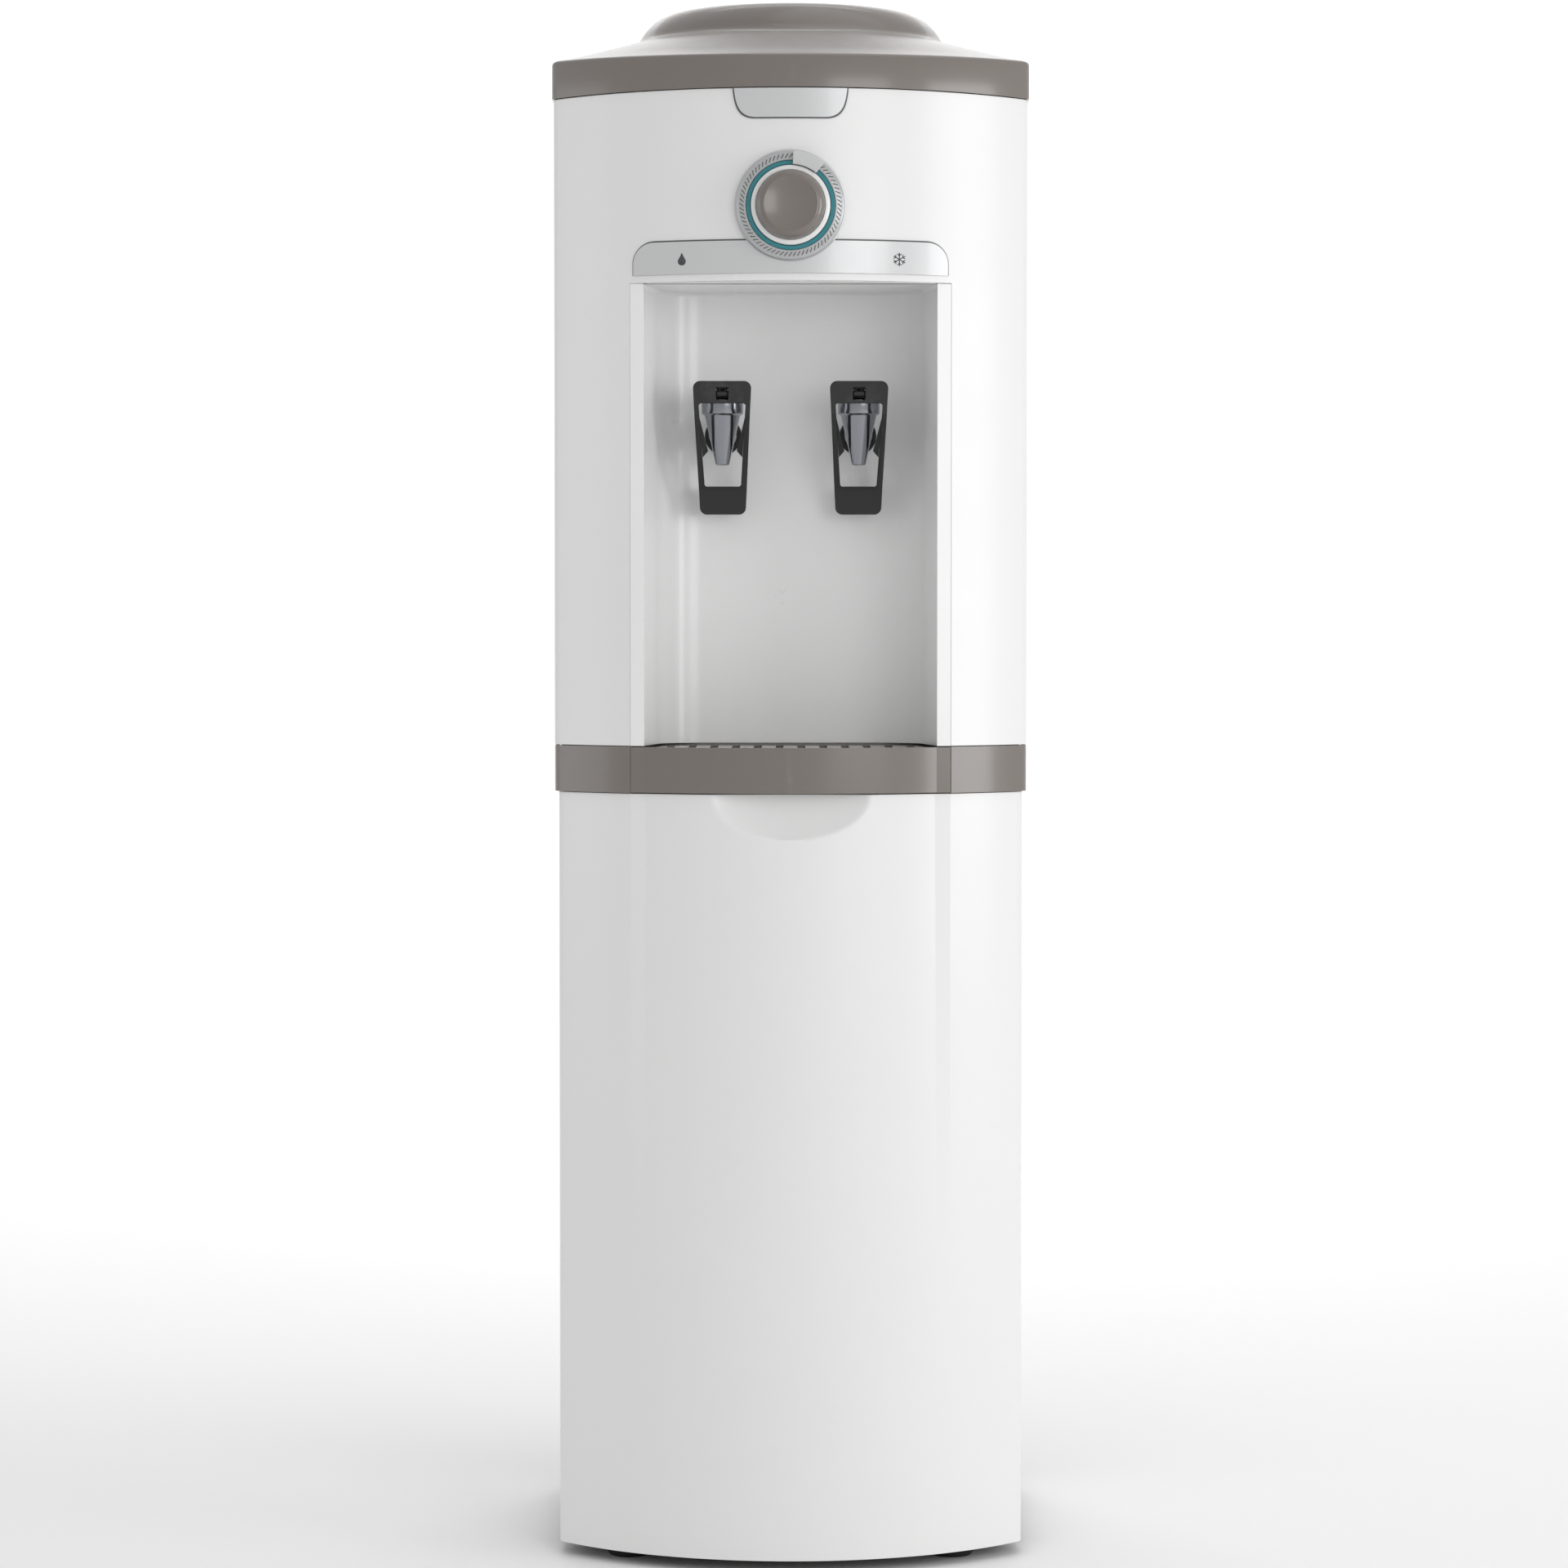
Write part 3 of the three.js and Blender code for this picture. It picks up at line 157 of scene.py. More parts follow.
def node(tree, kind, links=None, **settings):
    """A node whose settings are given by name and whose inputs are linked or set."""
    made = tree.nodes.new(kind)
    for key, value in settings.items():
        setattr(made, key, value)
    for key, source in (links or {}).items():
        if hasattr(source, "is_output"):
            tree.links.new(source, made.inputs[key])
        else:
            made.inputs[key].default_value = source
    return made


VECTOR, FLOAT = "NodeSocketVector", "NodeSocketFloat"


def ramp(tree, value, low, high):
    """Value spread from 0 at low to 1 at high, and clamped."""
    spread = node(tree, "ShaderNodeMapRange", {"Value": value, "From Min": low, "From Max": high})
    return spread.outputs["Result"]


print("helpers for node groups are ready")

# %% Moulded skin: a broad ripple and a fine grain as one height
moulded_skin, at, out = effect_group(
    "Moulded_Skin", [("Vector", VECTOR, None), ("Scale", FLOAT, 900.0), ("Ripple", FLOAT, 0.35)], ["Height"])
fine = node(moulded_skin, "ShaderNodeTexNoise",
            {"Vector": at.outputs["Vector"], "Scale": at.outputs["Scale"],
            "Detail": 3.0, "Roughness": 0.55})
broad_scale = node(moulded_skin, "ShaderNodeMath", {0: at.outputs["Scale"], 1: 0.06}, operation="MULTIPLY")
broad = node(moulded_skin, "ShaderNodeTexNoise", {"Vector": at.outputs["Vector"],
             "Scale": broad_scale.outputs[0], "Detail": 1.0})
share = node(moulded_skin, "ShaderNodeMath", {0: broad.outputs["Fac"], 1: at.outputs["Ripple"]},
             operation="MULTIPLY")
total = node(moulded_skin, "ShaderNodeMath", {0: fine.outputs["Fac"], 1: share.outputs[0]}, operation="ADD")
moulded_skin.links.new(total.outputs[0], out.inputs["Height"])

# %% Handling: cloudy patches for tone and gloss
handling, at, out = effect_group("Handling", [("Vector", VECTOR, None), ("Scale", FLOAT, 14.0)], ["Mask"])
clouds = node(handling, "ShaderNodeTexNoise", {"Vector": at.outputs["Vector"], "Scale": at.outputs["Scale"],
              "Detail": 5.0, "Roughness": 0.6, "Distortion": 0.4})
handling.links.new(ramp(handling, clouds.outputs["Fac"], 0.3, 0.72), out.inputs["Mask"])

# %% Settled dust: specks and haze on what faces up
settled_dust, at, out = effect_group("Settled_Dust", [("Vector", VECTOR, None), ("Scale", FLOAT, 60.0)],
                                     ["Mask"])
facing = node(settled_dust, "ShaderNodeNewGeometry")
split = node(settled_dust, "ShaderNodeSeparateXYZ", {0: facing.outputs["Normal"]})
upward = ramp(settled_dust, split.outputs["Z"], 0.55, 1.0)
haze = node(settled_dust, "ShaderNodeTexNoise",
            {"Vector": at.outputs["Vector"], "Scale": at.outputs["Scale"],
            "Detail": 8.0, "Roughness": 0.75})
speckled = ramp(settled_dust, haze.outputs["Fac"], 0.42, 0.8)
dusted = node(settled_dust, "ShaderNodeMath", {0: upward, 1: speckled}, operation="MULTIPLY")
settled_dust.links.new(dusted.outputs[0], out.inputs["Mask"])

# %% Rubbed edges: convex edges, broken up by noise
rubbed_edges, at, out = effect_group("Rubbed_Edges", [("Vector", VECTOR, None), ("Scale", FLOAT, 120.0)],
                                     ["Mask"])
shape_info = node(rubbed_edges, "ShaderNodeNewGeometry")
edge = ramp(rubbed_edges, shape_info.outputs["Pointiness"], 0.53, 0.62)
patchy = node(rubbed_edges, "ShaderNodeTexNoise",
              {"Vector": at.outputs["Vector"], "Scale": at.outputs["Scale"],
              "Detail": 4.0})
broken_up = ramp(rubbed_edges, patchy.outputs["Fac"], 0.35, 0.65)
kept = node(rubbed_edges, "ShaderNodeMath", {0: edge, 1: broken_up}, operation="MULTIPLY")
rubbed_edges.links.new(kept.outputs[0], out.inputs["Mask"])

# %% Drawn lines: noise stretched along one direction
drawn_lines, at, out = effect_group(
    "Drawn_Lines", [("Vector", VECTOR, None), ("Stretch", VECTOR, (1.0, 1.0, 60.0)),
                    ("Scale", FLOAT, 60.0)], ["Height"])
stretched = node(drawn_lines, "ShaderNodeVectorMath", {0: at.outputs["Vector"], 1: at.outputs["Stretch"]},
                 operation="MULTIPLY")
lines = node(drawn_lines, "ShaderNodeTexNoise",
             {"Vector": stretched.outputs[0], "Scale": at.outputs["Scale"],
             "Detail": 6.0, "Roughness": 0.7})
drawn_lines.links.new(lines.outputs["Fac"], out.inputs["Height"])

# %% Cells: the spangle of zinc and the beads of foam
crystal_cells, at, out = effect_group("Crystal_Cells", [("Vector", VECTOR, None), ("Scale", FLOAT, 60.0)],
                                      ["Tone", "Dome"])
cells = node(crystal_cells, "ShaderNodeTexVoronoi",
             {"Vector": at.outputs["Vector"], "Scale": at.outputs["Scale"]})
grey = node(crystal_cells, "ShaderNodeRGBToBW", {0: cells.outputs["Color"]})
crystal_cells.links.new(grey.outputs[0], out.inputs["Tone"])
dome = node(crystal_cells, "ShaderNodeMath", {0: 1.0, 1: cells.outputs["Distance"]}, operation="SUBTRACT")
crystal_cells.links.new(dome.outputs[0], out.inputs["Dome"])
print("six effects:", [g.name for g in bpy.data.node_groups])

# %% [markdown]
# ## Finishes
# One function mixes a finish from the effects: base colour, cloudy tone, dust, rubbed edges, gloss and
# relief. Values that are the same all over sit directly on the Principled shader's own sockets.

# %% Mix a finish
DUST_COLOUR = (0.55, 0.53, 0.50)


def finish(name, colour, roughness, metallic=0.0, coat=0.0, skin=(900, 0.12, 0.00006), tone=0.05,
           gloss_change=0.06, coat_roughness=0.08, dust=0.15, wear=0.0, wear_colour=(0.9, 0.9, 0.9),
           lines=None, cells=None, translucent=0.0, ior=1.5):
    """A material from the shared effects. skin is grain scale, strength and depth."""
    material = bpy.data.materials.new(name)
    material.use_nodes = True
    tree = material.node_tree
    shader = tree.nodes["Principled BSDF"]
    place = node(tree, "ShaderNodeTexCoord").outputs["Object"]

    def effect(group, **values):
        made = node(tree, "ShaderNodeGroup", node_tree=group)
        tree.links.new(place, made.inputs["Vector"])
        for key, value in values.items():
            made.inputs[key].default_value = value
        return made

    def mixed(factor, amount, under, over):
        scaled = node(tree, "ShaderNodeMath", {0: factor, 1: amount}, operation="MULTIPLY").outputs[0]
        made = node(tree, "ShaderNodeMix", {0: scaled}, data_type="RGBA")
        for socket, source in ((6, under), (7, over)):
            if hasattr(source, "is_output"):
                tree.links.new(source, made.inputs[socket])
            else:
                made.inputs[socket].default_value = (*source, 1)
        return made.outputs[2]

    cloudy = effect(handling).outputs["Mask"]
    shade = tuple(0.72 * c for c in colour)
    surface = mixed(cloudy, tone, colour, shade)
    height = effect(moulded_skin, Scale=skin[0]).outputs["Height"]
    if cells:
        crystals = effect(crystal_cells, Scale=cells[0])
        surface = mixed(crystals.outputs["Tone"], cells[1], surface, tuple(0.5 * c for c in colour))
        height = crystals.outputs["Dome"] if cells[2] else height
    if lines:
        height = effect(drawn_lines, Stretch=lines[0], Scale=lines[1]).outputs["Height"]
        surface = mixed(height, 0.25, surface, shade)
    if wear:
        surface = mixed(effect(rubbed_edges).outputs["Mask"], wear, surface, wear_colour)
    if dust:
        surface = mixed(effect(settled_dust).outputs["Mask"], dust, surface, DUST_COLOUR)
    tree.links.new(surface, shader.inputs["Base Color"])
    smoothest = max(0.02, roughness - gloss_change / 2)
    gloss = node(tree, "ShaderNodeMapRange", {"Value": cloudy, "To Min": smoothest,
                 "To Max": roughness + gloss_change / 2})
    tree.links.new(gloss.outputs["Result"], shader.inputs["Roughness"])
    relief = node(tree, "ShaderNodeBump", {"Strength": skin[1], "Distance": skin[2], "Height": height})
    tree.links.new(relief.outputs["Normal"], shader.inputs["Normal"])
    shader.inputs["Metallic"].default_value = metallic
    shader.inputs["Coat Weight"].default_value = coat
    shader.inputs["Coat Roughness"].default_value = coat_roughness
    shader.inputs["IOR"].default_value = ior
    if translucent:
        shader.inputs["Subsurface Weight"].default_value = translucent
        shader.inputs["Subsurface Radius"].default_value = (0.004, 0.004, 0.004)
    return material


# %% [markdown]
# The front is high-gloss ABS, whose faint ripple shows in reflections. The niche is the same plastic with
# less polish, its white made lighter as painted light inside the niche. Lid, band, tray and knob are a warm
# grey with a satin skin, and the trim is silver lacquer.

# %% Plastics of the front
gloss_white = finish("gloss_white_abs", (0.79, 0.79, 0.788), 0.36, coat=0.2, coat_roughness=0.18,
                     skin=(700, 0.10, 0.00012), tone=0.04)
# Painted light: the niche's white is lighter than the front's, to brighten the niche.
niche_white = finish("painted_light_white_abs", (0.84, 0.84, 0.838), 0.30, coat=0.3, skin=(1100, 0.16, 0.0001),
                     tone=0.05)
warm_grey = finish("warm_grey_satin", (0.172, 0.150, 0.134), 0.34, coat=0.8, coat_roughness=0.16, ior=1.45,
                   skin=(1400, 0.22, 0.00009), tone=0.10, dust=0.10, wear=0.25,
                   wear_colour=(0.36, 0.33, 0.30))
bezel_silver = finish("bezel_silver", (0.47, 0.475, 0.48), 0.28, metallic=0.3, coat=0.3,
                      skin=(5200, 0.25, 0.00004), tone=0.10)
silver_lacquer = finish("silver_lacquer", (0.60, 0.605, 0.61), 0.30, metallic=0.2, coat=0.4,
                        skin=(5200, 0.25, 0.00004), tone=0.10)
# Painted shade: the dark grey of the shadow lines round the fascia and badge and of the bezel's slanting
# marks.
painted_shade_grey = finish("painted_shade_lines", (0.10, 0.10, 0.105), 0.4, skin=(2000, 0.2, 0.00005))
teal_gloss = finish("teal_gloss", (0.012, 0.205, 0.240), 0.22, coat=0.6, skin=(900, 0.1, 0.00008), tone=0.12)
icon_ink = finish("icon_ink", (0.055, 0.058, 0.062), 0.45, skin=(3000, 0.3, 0.00004), dust=0.0)
knob_white = finish("knob_white_satin", (0.78, 0.78, 0.775), 0.28, coat=0.3, skin=(1500, 0.15, 0.00008))
print("front plastics mixed")

# %% [markdown]
# The taps are chromed, their levers black fine-grained plastic. Behind and inside, the dispenser is
# powder-coated and galvanised sheet, black enamel, copper tube, brushed stainless steel and bead foam.

# %% Metals, rubber and inner finishes
chrome = finish("satin_chrome", (0.31, 0.32, 0.35), 0.20, metallic=1.0, skin=(300, 0.04, 0.0001), tone=0.03,
                gloss_change=0.05, dust=0.03)
black_grain = finish("black_grained_plastic", (0.011, 0.011, 0.012), 0.40, skin=(2600, 0.5, 0.00012),
                     tone=0.2, dust=0.02, wear=0.25, wear_colour=(0.10, 0.10, 0.105))
black_rubber = finish("black_rubber", (0.016, 0.016, 0.016), 0.75, skin=(1800, 0.5, 0.0002), dust=0.35,
                      tone=0.3)
powder_white = finish("powder_coated_sheet", (0.76, 0.76, 0.75), 0.38, skin=(420, 0.35, 0.00016), tone=0.05)
zinc_sheet = finish("galvanised_sheet", (0.52, 0.54, 0.56), 0.42, metallic=0.9, skin=(900, 0.1, 0.00005),
                    cells=(75, 0.45, False), gloss_change=0.2)
black_enamel = finish("black_enamel", (0.014, 0.014, 0.015), 0.30, coat=0.4, skin=(500, 0.3, 0.00015),
                      tone=0.3, dust=0.4, wear=0.15, wear_colour=(0.12, 0.12, 0.12))
copper_tube = finish("drawn_copper", (0.70, 0.33, 0.19), 0.28, metallic=1.0, skin=(900, 0.25, 0.00005),
                     tone=0.5, lines=((40.0, 40.0, 1.5), 30.0), gloss_change=0.25, dust=0.1)
stainless = finish("brushed_stainless", (0.58, 0.58, 0.58), 0.26, metallic=1.0, skin=(900, 0.25, 0.00004),
                   lines=((2.0, 2.0, 90.0), 25.0), tone=0.1)
bead_foam = finish("bead_foam", (0.86, 0.86, 0.82), 0.85, skin=(400, 0.6, 0.0006), cells=(240, 0.10, True),
                   tone=0.1)
milky_plastic = finish("milky_plastic", (0.74, 0.77, 0.79), 0.32, skin=(1200, 0.2, 0.0001), translucent=0.3)
spring_wire = finish("spring_wire", (0.50, 0.50, 0.51), 0.25, metallic=1.0, skin=(900, 0.1, 0.00003))
zinc_screw = finish("zinc_plated_steel", (0.66, 0.66, 0.64), 0.3, metallic=1.0, skin=(1500, 0.2, 0.00004),
                    tone=0.3)
print("materials:", len(bpy.data.materials))

# %% [markdown]
# ## Drawing tools
# Everything is drawn in millimetres, as on a workshop drawing, and scaled to metres at the very end.
# A piece starts as a bmesh. Sheet and moulded walls are drawn as a thin skin, a Solidify modifier gives
# them their wall, and a small Bevel softens each crease, so that it catches a line of light.

# %% Finish a piece
def set_piece(name, shape, material, body, stands_for=(), wall=0.0, edge=0.4, crease=32):
    """Turn a bmesh in millimetres into a piece that rides on a body. Wall and edge are modifiers."""
    bmesh.ops.remove_doubles(shape, verts=shape.verts, dist=0.002)
    bmesh.ops.recalc_face_normals(shape, faces=shape.faces)
    bmesh.ops.scale(shape, vec=(MM, MM, MM), verts=shape.verts)
    mesh = bpy.data.meshes.new(name)
    shape.to_mesh(mesh)
    shape.free()
    mesh.materials.append(material)
    mesh.shade_smooth()
    made = bpy.data.objects.new(name, mesh)
    bpy.context.scene.collection.objects.link(made)
    if wall:
        thick = made.modifiers.new("wall", "SOLIDIFY")
        thick.thickness = wall * MM
        thick.offset = -1
        thick.use_even_offset = True
    if edge:
        soft = made.modifiers.new("soft_edges", "BEVEL")
        soft.width = edge * MM
        soft.segments = 3
        soft.limit_method = "ANGLE"
        soft.angle_limit = radians(crease)
        soft.harden_normals = True
    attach(made, body)
    if stands_for:
        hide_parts(*stands_for)
    print(f"{name}: {len(mesh.polygons)} faces")
    return made


def turn_to_front(shape, place, verts=None):
    """Lay what was drawn on the ground up against the front: its height then points at the viewer."""
    turned_up = Matrix.Translation(place) @ Matrix.Rotation(pi / 2, 4, "X")
    bmesh.ops.transform(shape, matrix=turned_up, verts=verts or shape.verts)


def turn_to_back(shape, place, verts=None):
    """Lay what was drawn on the ground so that its height points to the rear."""
    turned_down = Matrix.Translation(place) @ Matrix.Rotation(-pi / 2, 4, "X")
    bmesh.ops.transform(shape, matrix=turned_down, verts=verts or shape.verts)


# %% [markdown]
# Most shapes come from four moves: spin a profile, pull an outline up row by row, fill an outline and
# thicken it, or place a block. Round bars are curves with a round section, turned into a mesh.

# %% Turn a profile, raise an outline
def lathe(shape, profile, steps=72, closed=True):
    """Spin a profile of (radius, height) about the vertical axis, and return the new vertices."""
    points = [shape.verts.new((r, 0, h)) for r, h in profile]
    pairs = list(zip(points, points[1:] + points[:1])) if closed else list(zip(points, points[1:]))
    edges = [shape.edges.new(pair) for pair in pairs if pair[0].co != pair[1].co]
    known = set(shape.verts) - set(points)
    bmesh.ops.spin(shape, geom=points + edges, cent=(0, 0, 0), axis=(0, 0, 1), angle=2 * pi, steps=steps,
                   use_merge=True)
    return [v for v in shape.verts if v not in known]


def raise_outline(shape, outline, rows, closed=False):
    """Walls over an outline in plan, pulled up through every height in rows. Returns the top edges."""
    points = [shape.verts.new((x, y, rows[0])) for x, y in outline]
    pairs = list(zip(points, points[1:])) + ([(points[-1], points[0])] if closed else [])
    edges = [shape.edges.new(pair) for pair in pairs]
    for low, high in zip(rows, rows[1:]):
        grown = bmesh.ops.extrude_edge_only(shape, edges=edges)["geom"]
        verts = {g for g in grown if isinstance(g, bmesh.types.BMVert)}
        bmesh.ops.translate(shape, verts=list(verts), vec=(0, 0, high - low))
        edges = [g for g in grown if isinstance(g, bmesh.types.BMEdge) and set(g.verts) <= verts]
    return edges


def plate(shape, outline, low, high):
    """A solid plate: an outline filled with one face and pulled up. Returns its vertices."""
    known = set(shape.verts)
    face = shape.faces.new([shape.verts.new((x, y, low)) for x, y in outline])
    grown = bmesh.ops.extrude_face_region(shape, geom=[face])["geom"]
    top = [g for g in grown if isinstance(g, bmesh.types.BMVert)]
    bmesh.ops.translate(shape, verts=top, vec=(0, 0, high - low))
    return [v for v in shape.verts if v not in known]


def slab(shape, low, high):
    """A block between two opposite corners."""
    size = [b - a for a, b in zip(low, high)]
    middle = [(a + b) / 2 for a, b in zip(low, high)]
    matrix = Matrix.Translation(middle) @ Matrix.Diagonal((*size, 1))
    return bmesh.ops.create_cube(shape, size=1, matrix=matrix)["verts"]


def arc(centre, radius, start, end, steps):
    """Points on a circle from one angle to another, in degrees."""
    angles = [radians(start + (end - start) * i / steps) for i in range(steps + 1)]
    return [(centre[0] + radius * cos(a), centre[1] + radius * sin(a)) for a in angles]


def bent_tube(name, points, radius, material, body, stands_for=(), sides=5):
    """A round tube through points: a smooth curve with a round section, turned into a mesh."""
    curve = bpy.data.curves.new(name, "CURVE")
    curve.dimensions = "3D"
    curve.bevel_depth = radius
    curve.bevel_resolution = sides
    curve.resolution_u = 10
    curve.use_fill_caps = True
    line = curve.splines.new("BEZIER")
    line.bezier_points.add(len(points) - 1)
    for knot, place in zip(line.bezier_points, points):
        knot.co = place
        knot.handle_left_type = knot.handle_right_type = "AUTO"
    stand_in = bpy.data.objects.new(name + "_line", curve)
    bpy.context.scene.collection.objects.link(stand_in)
    bpy.context.view_layer.update()
    tube_mesh = stand_in.to_mesh()
    shape = bmesh.new()
    shape.from_mesh(tube_mesh)
    stand_in.to_mesh_clear()
    bpy.data.objects.remove(stand_in)
    return set_piece(name, shape, material, body, stands_for, edge=0)


# %% [markdown]
# The solids already know how wide, deep and high each moulding is, so the sizes are read from their
# boxes. The front is one large arc in plan that turns into the sides with a small radius.

# %% Sizes of the front, read from the solids
def span(name):
    """Half width, front, back, low and high of a solid, in millimetres."""
    low, high = (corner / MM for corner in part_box(name))
    return {"half": high.x, "front": low.y, "back": high.y, "low": low.z, "high": high.z}


def crisp(*edges):
    """Marks on both sides of an edge, so that smooth shading turns within half a millimetre."""
    return [edge + step for edge in edges for step in (-0.5, 0, 0.5)]


LOWER, UPPER = span("lower_front_panel"), span("upper_front_panel")
BELT, LID = span("waist_band"), span("top_cover")
BOW = 205  # radius of the bowed front
CORNER = 12  # radius where it turns into the sides
PANEL_BACK = -55  # where the side panels take over
FIELD_HALF, FIELD_FLAT = 101.7, 93  # the central field, with and without its slanted edges
RELIEF = 2.5  # how deep the field lies
BELT["front"] = span("drip_tray")["front"] - RELIEF  # the belt's middle is the sunken face of the tray
NICHE_TOP, NICHE_BACK = 817.3, -44
WINDOW_HALF = 102  # half of the opening that the niche and the tray fill
FRONT_ONLY = -60  # what lies before this belongs to the bowed front
WALL = 3


def bow_y(front, x, sink=0.0):
    """The surface of the bowed front at x, sunk by some depth."""
    return front + BOW - sqrt((BOW - sink) ** 2 - x * x)


def bow_outline(body, sink=0.0, marks=(), steps=96, limit=None, back=PANEL_BACK):
    """Plan of the bowed front from left to right, with points at the marks. A limit keeps the middle."""
    bow, corner, half = BOW - sink, CORNER - sink, body["half"] - sink
    centre_y = body["front"] + BOW
    corner_x = half - corner
    corner_y = centre_y - sqrt((bow - corner) ** 2 - corner_x ** 2)
    turn = atan2(corner_x, centre_y - corner_y)
    reach = limit or bow * sin(turn)
    stations = {reach * (2 * i / steps - 1) for i in range(steps + 1)}
    stations |= {m for mark in marks for m in (-mark, mark)}
    middle = [(x, bow_y(body["front"], x, sink)) for x in sorted(stations)]
    if limit:
        return middle
    right = arc((corner_x, corner_y), corner, degrees(turn) - 90, 0, 8)[1:] + [(half, back)]
    return [(-x, y) for x, y in reversed(right)] + middle + right


print("lower", LOWER, "upper", UPPER)

# %% [markdown]
# ## The lower front panel
# One tall injection moulding. Its middle field sinks towards the top, between two slanted edges that
# fade out near the floor, and a thumb-soft hollow under the tray lets fingers pull the tray out. Both
# are made by pushing vertices of the bowed skin inwards by a depth that is a smooth function of place.

# %% Model the lower front panel
RELIEF_END = 200
SCOOP = {"half": 52, "high": 29, "deep": 11}


def field_depth(x, z):
    """Depth of the sunken field and its finger hollow."""
    across = min(1, max(0, (FIELD_HALF - abs(x)) / (FIELD_HALF - FIELD_FLAT)))
    fade = min(1, max(0, (z - RELIEF_END) / (LOWER["high"] - RELIEF_END)))
    away = (x / SCOOP["half"]) ** 2 + ((z - LOWER["high"]) / SCOOP["high"]) ** 2
    hollow = SCOOP["deep"] * (1 - away) ** 0.75 if away < 1 else 0
    return max(RELIEF * across * fade, hollow + 0.6 * RELIEF * across * fade if hollow else 0)


lower = bmesh.new()
wide_rows = [8, 9.5, 60, 120, 180] + [RELIEF_END + 20 * i for i in range(14)]
rows = wide_rows + [464 + 1.5 * i for i in range(21)]
rows = [z for z in rows if z < LOWER["high"] - 0.5] + [LOWER["high"]]
raise_outline(lower, bow_outline(LOWER, marks=crisp(FIELD_FLAT, FIELD_HALF), steps=150), rows)
for v in lower.verts:
    depth = field_depth(v.co.x, v.co.z)
    if depth:
        axis = Vector((v.co.x, v.co.y - LOWER["front"] - BOW, 0)).normalized()
        v.co -= axis * depth
set_piece("lower_panel", lower, gloss_white, "cabinet", ["lower_front_panel"], wall=WALL,
          edge=0.9, crease=40)

# %% [markdown]
# ## The upper front panel
# The same bowed skin with a tall window for the niche. It carries the dial, the fascia and the badge.
# The faces inside the window and behind the dial are simply deleted before the wall is added.

# %% Model the upper front panel
DIAL = Vector((0, UPPER["front"], 863.8))
DIAL_HOLE = 28
upper = bmesh.new()
rows = [UPPER["low"], NICHE_TOP] + [820 + 6 * i for i in range(19)] + [UPPER["high"]]
raise_outline(upper, bow_outline(UPPER, marks=(WINDOW_HALF,)), rows)
doomed = []
for f in upper.faces:
    middle = f.calc_center_median()
    in_window = abs(middle.x) < WINDOW_HALF and middle.z < NICHE_TOP and middle.y < FRONT_ONLY
    behind_dial = (middle - DIAL).length < DIAL_HOLE and middle.y < FRONT_ONLY
    if in_window or behind_dial:
        doomed.append(f)
bmesh.ops.delete(upper, geom=doomed, context="FACES")
set_piece("upper_panel", upper, gloss_white, "cabinet", ["upper_front_panel"], wall=WALL,
          edge=0.8, crease=40)

# %% [markdown]
# ## The niche
# A vacuum-formed or moulded liner: slanted front edges, side walls that draw in towards the back, round
# rear corners and a ceiling. Light that falls in from one side leaves one wall bright and one dark, and
# the round corners carry the change between them.

# %% Model the niche liner
NICHE_CORNER, NICHE_NARROW = 30, 86


def niche_plan(inset=0.0, mouth=-122.0):
    """Right half of the niche's plan, from the mouth to the middle of the back."""
    centre = (NICHE_NARROW - NICHE_CORNER, NICHE_BACK - NICHE_CORNER)
    corner = arc(centre, NICHE_CORNER - inset, 0, 90, 14)
    return [(FIELD_FLAT - inset, mouth)] + corner


def both_sides(half):
    """A plan and its mirror image, from the right mouth round the back to the left mouth."""
    return half + [(-x, y) for x, y in reversed(half)]


niche = bmesh.new()
strip_front = [(FIELD_HALF, bow_y(UPPER["front"], FIELD_HALF)),
               (FIELD_FLAT, bow_y(UPPER["front"], FIELD_FLAT, RELIEF))]
walls = both_sides(strip_front + niche_plan())
top_edges = raise_outline(niche, walls, [BELT["high"] + 0.4, 600, 700, NICHE_TOP - 0.4])
front_corners = sorted({v for e in top_edges for v in e.verts}, key=lambda v: v.co.y)[:2]
left_corner, right_corner = sorted(front_corners, key=lambda v: v.co.x)
behind_panel = bow_outline(UPPER, WALL + 0.3, limit=98, steps=40)
lip = [left_corner] + [niche.verts.new((x, y, left_corner.co.z)) for x, y in behind_panel] + [right_corner]
closing = [niche.edges.new(pair) for pair in zip(lip, lip[1:])]
bmesh.ops.contextual_create(niche, geom=top_edges + closing)
inner_top = [e for e in top_edges if max(v.co.y for v in e.verts) > -121]
bmesh.ops.bevel(niche, geom=inner_top, offset=3, segments=9, profile=0.5, affect="EDGES", material=-1)
set_piece("niche", niche, niche_white, "cabinet", ["niche_liner"], wall=2.4, edge=0.35,
          crease=12)

# %% [markdown]
# ## Waist band, drip tray and grille
# A warm grey belt parts the two white mouldings. Its middle is the face of the drip tray, which slides
# out on a shelf behind the belt, and a slotted grille lies on the tray's rim. The grille's slots are cut
# with bisect planes: the plate is sliced along every slot's sides and ends, and the slot faces deleted.

# %% Model the band and its shelf
band = bmesh.new()
raise_outline(band, bow_outline(BELT, marks=(WINDOW_HALF,)),
              [BELT["low"], (BELT["low"] + BELT["high"]) / 2, BELT["high"]])
centres = [(f, f.calc_center_median()) for f in band.faces]
middle_faces = [f for f, at in centres if abs(at.x) < WINDOW_HALF and at.y < FRONT_ONLY]
bmesh.ops.delete(band, geom=middle_faces, context="FACES")
set_piece("belt", band, warm_grey, "cabinet", ["waist_band"], wall=2.4, edge=0.4, crease=40)

